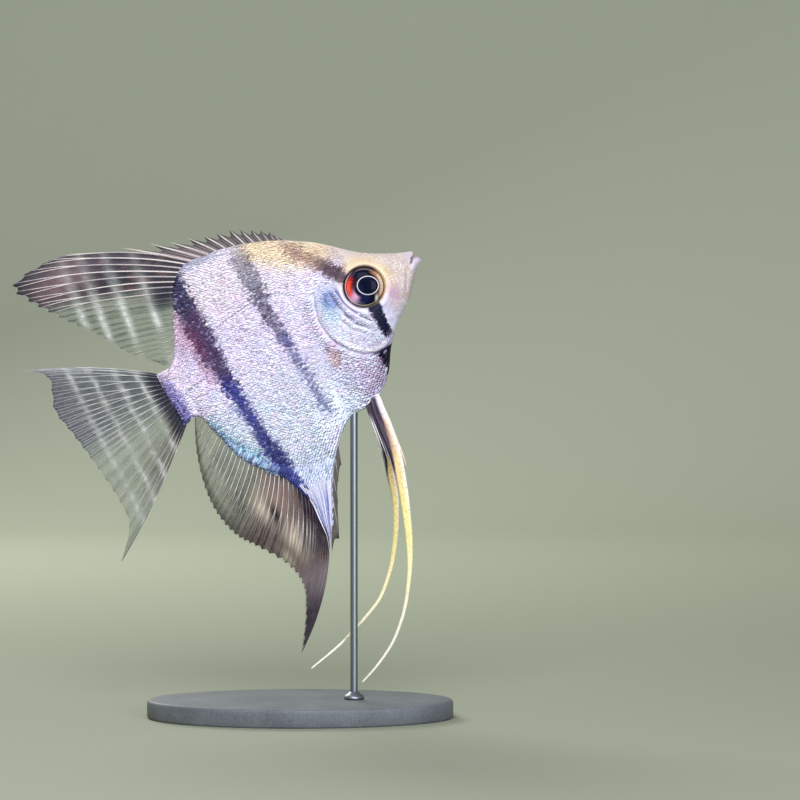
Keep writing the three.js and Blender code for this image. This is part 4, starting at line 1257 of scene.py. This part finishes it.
# %% [markdown]
# ## Tail fin
# Two short filaments end its corners, and its rays split twice. Four pale bands cross it where each ray
# carries a white joint; the upper half is smoky, the lower half almost clear.

# %% Tail fin


def tail_bands(x, z):
    across = x - 0.02 * z + 0.5 * blotch(x, z, 9)
    band = np.max([bell(across, at, 0.85) for at in (-9, -16, -23.5, -30.5)], 0)
    return band * (0.6 + 0.4 * blotch(x, z, 3))


def tail_web_paint(x, z, share, along):
    upper, low_edge = ramp(z, -12, 4), ramp(share, 0.66, 0.84) * ramp(x, -30, -14)
    streak = grain(31)(share)
    line = beside_ray(TAIL, share) * ramp(along, 0.1, 0.4)
    cover = 0.16 + 0.44 * upper + 0.05 * streak + 0.12 * line * (1 - upper) + 0.22 * tail_bands(x, z)
    cover = cover + 0.7 * ramp(x, -8.8, -5.6)
    c = coats(
        "#8C9486",
        ("#4E5560", upper, 0.8 + 0.2 * blotch(x, z, 5)),
        ("#7A6A6A", 0.25, upper, (blotch(x, z, 8), 0.1, 0.7)),
        ("#4C4664", 0.6, upper, (x, -26, -36)),
        ("#54423E", 0.8, low_edge, 0.8 + 0.4 * blotch(x, z, 4)),
        ("#4E564E", 0.6, line, 1 - upper),
        ("#FFFFF4", 0.75, tail_bands(x, z)),
        ("#1E1D2C", 0.97, (x + 0.5 * blotch(x, z, 2), -8.6, -5.4)))
    return 0.72 * c, np.clip(cover + 0.4 * low_edge, 0.06, 0.92)


def tail_ray_paint(x, z, share, along):
    low_edge = ramp(share, 0.66, 0.84) * ramp(x, -30, -14)
    dark = 0.5 + 0.5 * np.sin(share * 17 * np.pi)
    c = coats(
        "#C9CCC8",
        ("#878E86", (share, 0.5, 0.75)),
        ("#4A3F3A", low_edge, dark),
        ("#E6DCCB", low_edge, 1 - dark),
        ("#FBFBF4", 0.9, tail_bands(x, z)),
        ("#33304A", 0.9, (x, -7.6, -4.6)))
    return 0.8 * coats(c, ("#4A4444", 0.9, (along, 0.86, 0.97), (share, 0.93, 0.98)))


film = web("tail_web", TAIL, tail_web_paint, dip=0.014, rows=34)
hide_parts("tail_fin")
draw_rays("tail_rays", TAIL, lambda s, a: 0.2 * (1.05 - 0.75 * a), tail_ray_paint, splits=lambda s: (0.3, 0.62))

# %% [markdown]
# ## Pectoral fins
# A small clear fan on each flank, just behind the gill cover. It is the thinnest fin of all, seen mainly by
# its fine rays.

# %% Pectoral fins
PECTORAL_FEET = [(56.8, -10.5), (56.4, -14), (55.4, -17.5)]


def pectoral_places(share, along, side):
    root_y = float(plain_thickness(np.array(56.4), np.array(-14.0))) - 0.9
    foot, angle = spline(PECTORAL_FEET)(share), np.radians(-24 + 76 * share)
    reach = 21 * (1 - 1.3 * (share - 0.4) ** 2) * along
    x, z = foot[..., 0] - reach * np.cos(angle), foot[..., 1] - reach * np.sin(angle)
    return np.stack([x, side * (root_y + 0.3 * (56.4 - x)), z], -1)


for side_name, hand in SIDES:
    share, along = np.meshgrid(np.linspace(0, 1, 45), np.linspace(0, 0.97, 18))
    grid = pectoral_places(share, along, hand)
    grid[..., 1] += 0.08 * np.sin(np.pi * 11 * share) * along
    film = shell("pectoral_web_" + side_name, grid, 0.04, "#D8D3E4", 0.05)
    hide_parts("pectoral_fin_" + side_name)
    rods_from("pectoral_rays_" + side_name, [
        (pectoral_places(s, a, hand), 0.09 * (1.1 - 0.85 * a), coats("#E9E4F2", ("#9A7468", (a, 0.14, 0.02))))
        for k in range(12) for s, a in branches(k / 11, 1 / 11, (0.5,), 8)], sides=5)

# %% [markdown]
# ## Pelvic fins
# The pelvic fins are drawn out into feelers: a stiff spine in front, a long soft ray behind it that thins to
# a thread, and a few short inner rays under a dark strip. They hang down and back, yellow and cream.

# %% Feelers
# Each place: forward, outward from the middle plane, up, and the feeler's width there.
FEELERS = {
    "right": [(62.6, 1.6, -34, 4.0), (61.6, 2.6, -39, 4.5), (61, 3.4, -45, 4.8), (60.3, 4.2, -51, 4.7),
              (59.2, 5, -57.8, 4.3), (57.3, 5.8, -64.8, 3.8), (55, 6.3, -71.8, 3.3), (52.3, 6.6, -79, 2.8),
              (49.2, 6.8, -86.4, 2.3), (45.4, 6.7, -93.9, 1.7), (41.7, 6.5, -99.6, 1.4), (37.4, 6.2, -105.5, 1.2),
              (32.2, 5.8, -111, 1.05), (26, 5.2, -116, 0.95), (18.2, 4.6, -120.1, 0.85), (10.5, 4, -123, 0.6)],
    "left": [(62.2, 1.6, -34, 3.6), (61.2, 2.8, -41, 3.8), (59.5, 3.9, -49, 3.6), (57.1, 5, -56, 3.2),
             (54.2, 6, -63.1, 2.9), (52, 6.7, -70.2, 2.5), (49.5, 7.2, -75.7, 2.1), (46.4, 7.4, -81.4, 1.8),
             (42.4, 7.4, -87.4, 1.6), (37.5, 7.2, -93.4, 1.35), (30.5, 6.8, -99.7, 1.15), (24, 6.4, -103, 1.05),
             (15.4, 5.8, -106.1, 0.95), (8.1, 5.4, -108.4, 0.85), (-3.9, 4.8, -110.8, 0.6)]}


def feeler_paint(around, depth):
    """around is the angle round the feeler (0 in front) and depth is the level below the fish."""
    front = np.cos(around)
    streaks = 0.5 + 0.5 * np.sin(13 * front + 0.25 * depth)
    rear_edge = np.interp(depth, [38, 42, 50, 58, 66], [0.25, 0.2, -0.05, -0.45, -0.8])
    plum = ramp(front - rear_edge, 0.14, -0.14) * ramp(depth, 70, 60)
    return coats(
        "#EBC8A0",
        ("#F6D898", (depth, 50, 60)),
        ("#FFEC9C", (depth, 62, 74)),
        ("#FBEDB8", (depth, 84, 98)),
        ("#FAF4E0", (depth, 98, 112)),
        ("#9A6450", 0.6, streaks, (front, 0.6, 0.2), (depth, 64, 50)),
        ("#E6DAEC", 0.85, (depth, 45, 40), (front, -0.3, 0.1)),
        ("#FFFAF2", 0.9, (front, 0.45, 0.75), (depth, 90, 66)),
        ("#1E1028", plum),
        ("#7E6078", 0.4, plum, (np.sin(15 * front + 0.1 * depth), 0.5, 1)),
        ("#8A6238", 0.5, 1 - plum, (front, -0.4, -0.85), (depth, 84, 66)))


def unit(vectors):
    return vectors / np.linalg.norm(vectors, axis=-1, keepdims=True)


def feeler(name, places, side, steps=220, count=28):
    """A ridged, flattened tube. Returns its middle line, its forward direction across, and its width."""
    places, t = np.array(places), np.linspace(0, 1, steps)
    centre, wide = spline(places[:, :3] * [1, side, 1])(t), spline(places[:, 3:])(t)
    down = np.gradient(centre, axis=0)
    across = unit(np.stack([-down[:, 2], 0 * t, down[:, 0]], -1))
    across *= np.sign(across[:, :1])
    thin = np.clip(wide * 0.36, 0.75, 1.5) / 2
    around = np.linspace(0, 2 * np.pi, count, endpoint=False)
    ridge = 1 + 0.16 * np.cos(5 * around) * ramp(wide, 1.5, 3)
    points = centre[:, None] + across[:, None] * (np.cos(around) * wide / 2)[..., None]
    points[..., 1] += np.sin(around) * thin * ridge
    depth = np.broadcast_to(-centre[:, 2:], (steps, count))
    stipple = 1 - 0.22 * (np.random.default_rng(9).random(depth.shape) < 0.3) * ramp(depth, 96, 80)
    paint = feeler_paint(around, depth) * stipple[..., None]
    points = np.concatenate([points.reshape(-1, 3), centre[[0, -1]]])
    paint = np.concatenate([paint.reshape(-1, 3), paint[[0, -1], 0]])
    faces = facing_out(points, tube_faces(steps, count, capped=True))
    piece = new_piece(name, points, faces, RAYS, paint)
    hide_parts(name.replace("feeler", "pelvic_fin"))
    return centre, across, wide


def feeler_trim(side_name, centre, across, wide, side):
    """The spine along the feeler's front edge with its film, and the short pale rays and dark web behind it."""
    upper, t = slice(6, 68), np.linspace(0, 1, 62)[:, None]
    edge = centre[upper] + across[upper] * (0.5 * wide[upper] - 0.15 + 0.85 * ramp(t, 0.6, 1)) + [0, 0.1 * side, 0]
    foot = (centre[upper] + across[upper] * (0.5 * wide[upper] - 0.4))[30:, None]
    flap = foot + (edge[30:, None] - foot) * np.linspace(0, 0.95, 5)[:, None]
    shell("feeler_flap_" + side_name, flap, 0.05, "#A89888", 0.75)
    t = t[:, 0]
    lines = [(edge, 0.42 * (1.04 - t**5), coats("#FFF8F0", ("#F2DCB4", t)))]
    for k in range(3):
        part = slice(10, 70 - 9 * k)
        t = np.linspace(0, 1, 60 - 9 * k)
        behind = 0.45 * wide[part] + 0.3 + 0.55 * k + 0.25 * k * t[:, None]
        pale = coats("#3A2838", ("#F2EEF0", ramp(t, 0.1, 0.5) if k else 0.4 * ramp(t, 0.4, 0.8)))
        lines.append((centre[part] - across[part] * behind, 0.3 * (1.08 - t), pale))
    rods_from("feeler_rays_" + side_name, lines, sides=8)
    part, out = np.linspace(10, 66, 30).astype(int), np.linspace(0.3, 1, 7)
    behind = 0.4 * wide[part] + 2.0 * out * (1 - np.linspace(0, 1, 30)[:, None] ** 2)
    dark = coats("#20122A", ("#8E8890", (out, 0.5, 0.95)))
    shell("feeler_web_" + side_name, centre[part][:, None] - across[part][:, None] * behind[..., None], 0.05, dark,
          0.92 - 0.6 * ramp(out, 0.4, 0.9))


for side_name, hand in SIDES:
    feeler_trim(side_name, *feeler("feeler_" + side_name, FEELERS[side_name], hand), hand)

# %% [markdown]
# ## Lateral line
# A row of small pores runs along the flank in two parts, high over the front half and low towards the tail.
# On the model it is a chain of dark dashes set just proud of the scales.

# %% Lateral line
LINE_PARTS = [[(55, 10), (50, 14), (45, 15.4), (40, 15.5), (35, 15), (29, 14.2), (23, 13)],
              [(14, -0.3), (8, -1.2), (0, -2.8)]]
DASH_WIDTHS = np.array([0.04, 0.13, 0.15, 0.13, 0.04])


def lateral_line(side):
    lines = []
    for part in LINE_PARTS:
        places = spline(part)(np.linspace(0, 1, 220))
        run = np.concatenate([[0], np.cumsum(np.hypot(*np.diff(places, axis=0).T))])
        for start in np.arange(0.3, run[-1] - 1, 1.35):
            x, z = (np.interp(np.linspace(start, start + 0.85, 5), run, places[:, k]) for k in (0, 1))
            lines.append((np.stack([x, side * (thickness(x, z) + 0.05), z], -1), DASH_WIDTHS, linear("#55506E")))
    return lines


rods_from("lateral_line", lateral_line(-1) + lateral_line(1))

# %% [markdown]
# ## Streaks over the lobe
# The scaly lobe in front of the anal fin does not end at a clean edge: pale streaks of skin run down from its
# point over the first fin rays. They are tapering rods like the rays, laid on the lobe and then on the fin.

# %% Lobe streaks
LOBE_LEVELS = [-78, -71, -64, -60, -55, -50, -46]
LOBE_REAR = [21.6, 23.9, 24.2, 24.6, 24.4, 23.4, 22.2]
LOBE_FRONT = [22.4, 26.0, 29.6, 31.8, 34.4, 37.2, 40]


def lobe_streaks(side):
    lines, rng, t = [], np.random.default_rng(12), np.linspace(0, 1, 18)
    for share in np.linspace(0.04, 0.96, 22):
        z = np.linspace(-49 - 5 * rng.random(), -66 - 12 * rng.random() * (1 - 0.4 * share), len(t))
        rear, front = np.interp(z, LOBE_LEVELS, LOBE_REAR), np.interp(z, LOBE_LEVELS, LOBE_FRONT)
        x = rear + (front - rear) * share
        y = side * (np.maximum(plain_thickness(x, z), 0.4) + 0.12)
        colour = coats("#F6F4FF", ("#5C66C0", rng.random() ** 2, (t, 0.0, 0.5)))
        lines.append((np.stack([x, y, z], -1), 0.17 * (1.06 - t**2), colour))
    return lines


rods_from("lobe_streaks", lobe_streaks(-1) + lobe_streaks(1))

# %% [markdown]
# ## The stand
# A flat oval base of matt slate-grey resin and one polished steel rod in a small collar. Each is turned from
# a profile with its edges rounded, which the coarse solid only hints at.

# %% Stand
BASE_HALF, BASE_SIDE, BASE_TOP = 33.0, 19.0, 4.0
ROD_X, ROD_RADIUS, ROD_TOP, ROD_SEAT = 11.6, 0.8, 72.5, 2.5


def round_edge(radius, height, edge, steps=7):
    turn = np.linspace(0, np.pi / 2, steps)
    return [(radius - edge + edge * math.cos(a), height - edge + edge * math.sin(a)) for a in turn]


def turned_piece(name, profile, material, replaced, middle, squash=1.0, count=96):
    """A profile of (radius, height) in mm turned round an upright axis. It ends on the axis or closes on itself."""
    radii, heights = np.array(profile).T
    angle = np.linspace(0, 2 * np.pi, count, endpoint=False)
    body = slice(1, -1) if radii[0] == 0 else slice(None)
    x, y = radii[body, None] * np.cos(angle), radii[body, None] * np.sin(angle) * squash
    points = np.stack([x + middle, y, heights[body, None] + 0 * x], -1).reshape(-1, 3)
    if radii[0] == 0:
        points = np.concatenate([points, [[middle, 0, heights[0]], [middle, 0, heights[-1]]]])
    faces = tube_faces(len(x), count, capped=radii[0] == 0)
    piece = new_piece(name, points * MM, faces, material, world=True)
    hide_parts(replaced)


def slate_resin():
    """Matt resin with a fine grain of 0.4 mm and soft clouds of 8 mm."""
    base, tree = new_material("matt_slate_resin")
    place = add(tree, "ShaderNodeTexCoord", None, "Object")
    cloud = add(tree, "ShaderNodeTexNoise", {"Vector": place, "Scale": 120.0, "Detail": 4.0})
    fleck = add(tree, "ShaderNodeTexNoise", {"Vector": place, "Scale": 2500.0, "Detail": 2.0})
    both = add(tree, "ShaderNodeMath", {0: cloud, 1: fleck}, operation="ADD")
    tone = add(tree, "ShaderNodeMapRange", {
        "Value": both, "From Min": 0.75, "From Max": 1.25, "To Min": 0.0, "To Max": 1.0})
    paint = add(tree, "ShaderNodeMix", {
        "Factor": tone, "A": (*linear("#565B5E"), 1), "B": (*linear("#6E7375"), 1)}, "Result", data_type="RGBA")
    surface = add(tree, "ShaderNodeBsdfPrincipled", {"Base Color": paint, "Roughness": 0.55})
    finish_material(tree, surface, Height=fleck, Strength=0.15, Distance=0.00003)
    return base


def drawn_steel():
    """Polished rod with fine drawing lines along it."""
    steel, tree = new_material("drawn_steel")
    place = add(tree, "ShaderNodeTexCoord", None, "Object")
    long = add(tree, "ShaderNodeMapping", {"Vector": place, "Scale": (1.0, 1.0, 0.02)})
    lines = add(tree, "ShaderNodeTexNoise", {"Vector": long, "Scale": 9000.0, "Detail": 2.0})
    rough = add(tree, "ShaderNodeMapRange", {"Value": lines, "To Min": 0.34, "To Max": 0.5})
    surface = add(tree, "ShaderNodeBsdfPrincipled", {
        "Base Color": (*linear("#8C9195"), 1), "Metallic": 1.0, "Roughness": rough})
    finish_material(tree, surface, Height=lines, Strength=0.05, Distance=0.00001)
    return steel


SLATE, STEEL = slate_resin(), drawn_steel()
plate = [(0, 0), (BASE_HALF - 0.5, 0), (BASE_HALF, 0.5), *round_edge(BASE_HALF, BASE_TOP, 0.8),
         (8, BASE_TOP), (0, BASE_TOP)]
turned_piece("stand_plate", plate, SLATE, "stand_base", 0, squash=BASE_SIDE / BASE_HALF, count=160)
rod_foot = BASE_TOP - ROD_SEAT
post = [(0, rod_foot), *[(ROD_RADIUS, h) for h in (rod_foot, *np.linspace(6, 70, 17))],
        *round_edge(ROD_RADIUS, ROD_TOP, 0.2, 4), (0, ROD_TOP)]
turned_piece("stand_post", post, STEEL, "stand_rod", ROD_X, count=40)
collar = [(0.86, 4.05), (2.2, 4.05), (2.2, 4.5), (2.05, 4.8), (1.5, 5.15), (1.15, 5.5), (1.0, 5.65), (0.86, 5.65)]
turned_piece("stand_ring", collar, STEEL, "stand_collar", ROD_X, count=64)

# %% [markdown]
# ## Light, floor and camera
# A pale sweep stands in for floor and wall. One broad lamp above and in front gives the body its sheen, a
# large weak one fills the shadow side, and a third from behind lights the edges of the clear fins. The
# camera stands level with the fish, a little above the floor, and sees its right side.

# %% Sweep


def pale_sweep():
    paper, tree = new_material("matt_studio_paper")
    place = add(tree, "ShaderNodeTexCoord", None, "Object")
    back = add(tree, "ShaderNodeSeparateXYZ", {"Vector": place}, "Y")
    far = add(tree, "ShaderNodeMapRange", {"Value": back, "From Min": 0.1, "From Max": 0.8},
              interpolation_type="SMOOTHSTEP")
    paint = add(tree, "ShaderNodeMix", {
        "Factor": far, "A": (*linear("#959B85"), 1), "B": (*linear("#C6CCB4"), 1)}, "Result", data_type="RGBA")
    finish_material(tree, add(tree, "ShaderNodeBsdfPrincipled", {"Base Color": paint, "Roughness": 0.9}))
    bend = [(0.55 + 0.3 * math.sin(a), 0.3 * (1 - math.cos(a))) for a in np.linspace(0, math.pi / 2, 17)]
    profile = [(y, 0.0) for y in (-1.4, 0.1, 0.25, 0.4)] + bend + [(0.85, 1.8)]
    mesh = bpy.data.meshes.new("sweep")
    mesh.from_pydata([(x, y, z) for y, z in profile for x in (-1.6, 1.6)], [],
                     [(2 * i, 2 * i + 1, 2 * i + 3, 2 * i + 2) for i in range(len(profile) - 1)])
    mesh.shade_smooth()
    mesh.materials.append(paper)
    sweep = in_scene("sweep", mesh)


pale_sweep()

# %% Lamps and camera
AIM = np.array([0.0215, 0.0, 0.0685])
DISTANCE = 0.75
ELEVATION = math.radians(2)
FRAME_WIDTH = 0.1719


def aimed(name, data, place):
    """A lamp or camera at a place, turned towards the fish."""
    thing = in_scene(name, data)
    thing.location = place
    thing.rotation_euler = (Vector(AIM) - Vector(place)).to_track_quat("-Z", "Y").to_euler()
    return thing


for name, place, size, power, colour in [
        ("key_lamp", (-0.05, -0.48, 0.42), 0.3, 2.85, "#F6F5FF"),
        ("fill_lamp", (0.3, -0.66, 0.14), 0.24, 2.9, "#E6EAFF"),
        ("rim_lamp", (-0.25, 0.42, 0.4), 0.3, 2.3, "#FFFFFF")]:
    lamp = bpy.data.lights.new(name, "AREA")
    lamp.shape, lamp.size, lamp.energy, lamp.color = "SQUARE", size, power, linear(colour)
    aimed(name, lamp, place)

scene = bpy.context.scene
scene.world = bpy.data.worlds.new("studio")
scene.world.use_nodes = True
sky = scene.world.node_tree.nodes["Background"].inputs
sky["Color"].default_value, sky["Strength"].default_value = (*linear("#E8ECEE"), 1), 0.37
scene.view_settings.view_transform = "Standard"
camera = aimed("camera", bpy.data.cameras.new("camera"),
               AIM + DISTANCE * np.array([0, -math.cos(ELEVATION), math.sin(ELEVATION)]))
camera.data.angle = 2 * math.atan(FRAME_WIDTH / 2 / DISTANCE)
camera.data.clip_start = 0.01
scene.camera = camera
print("field of view:", round(math.degrees(camera.data.angle), 1), "degrees")
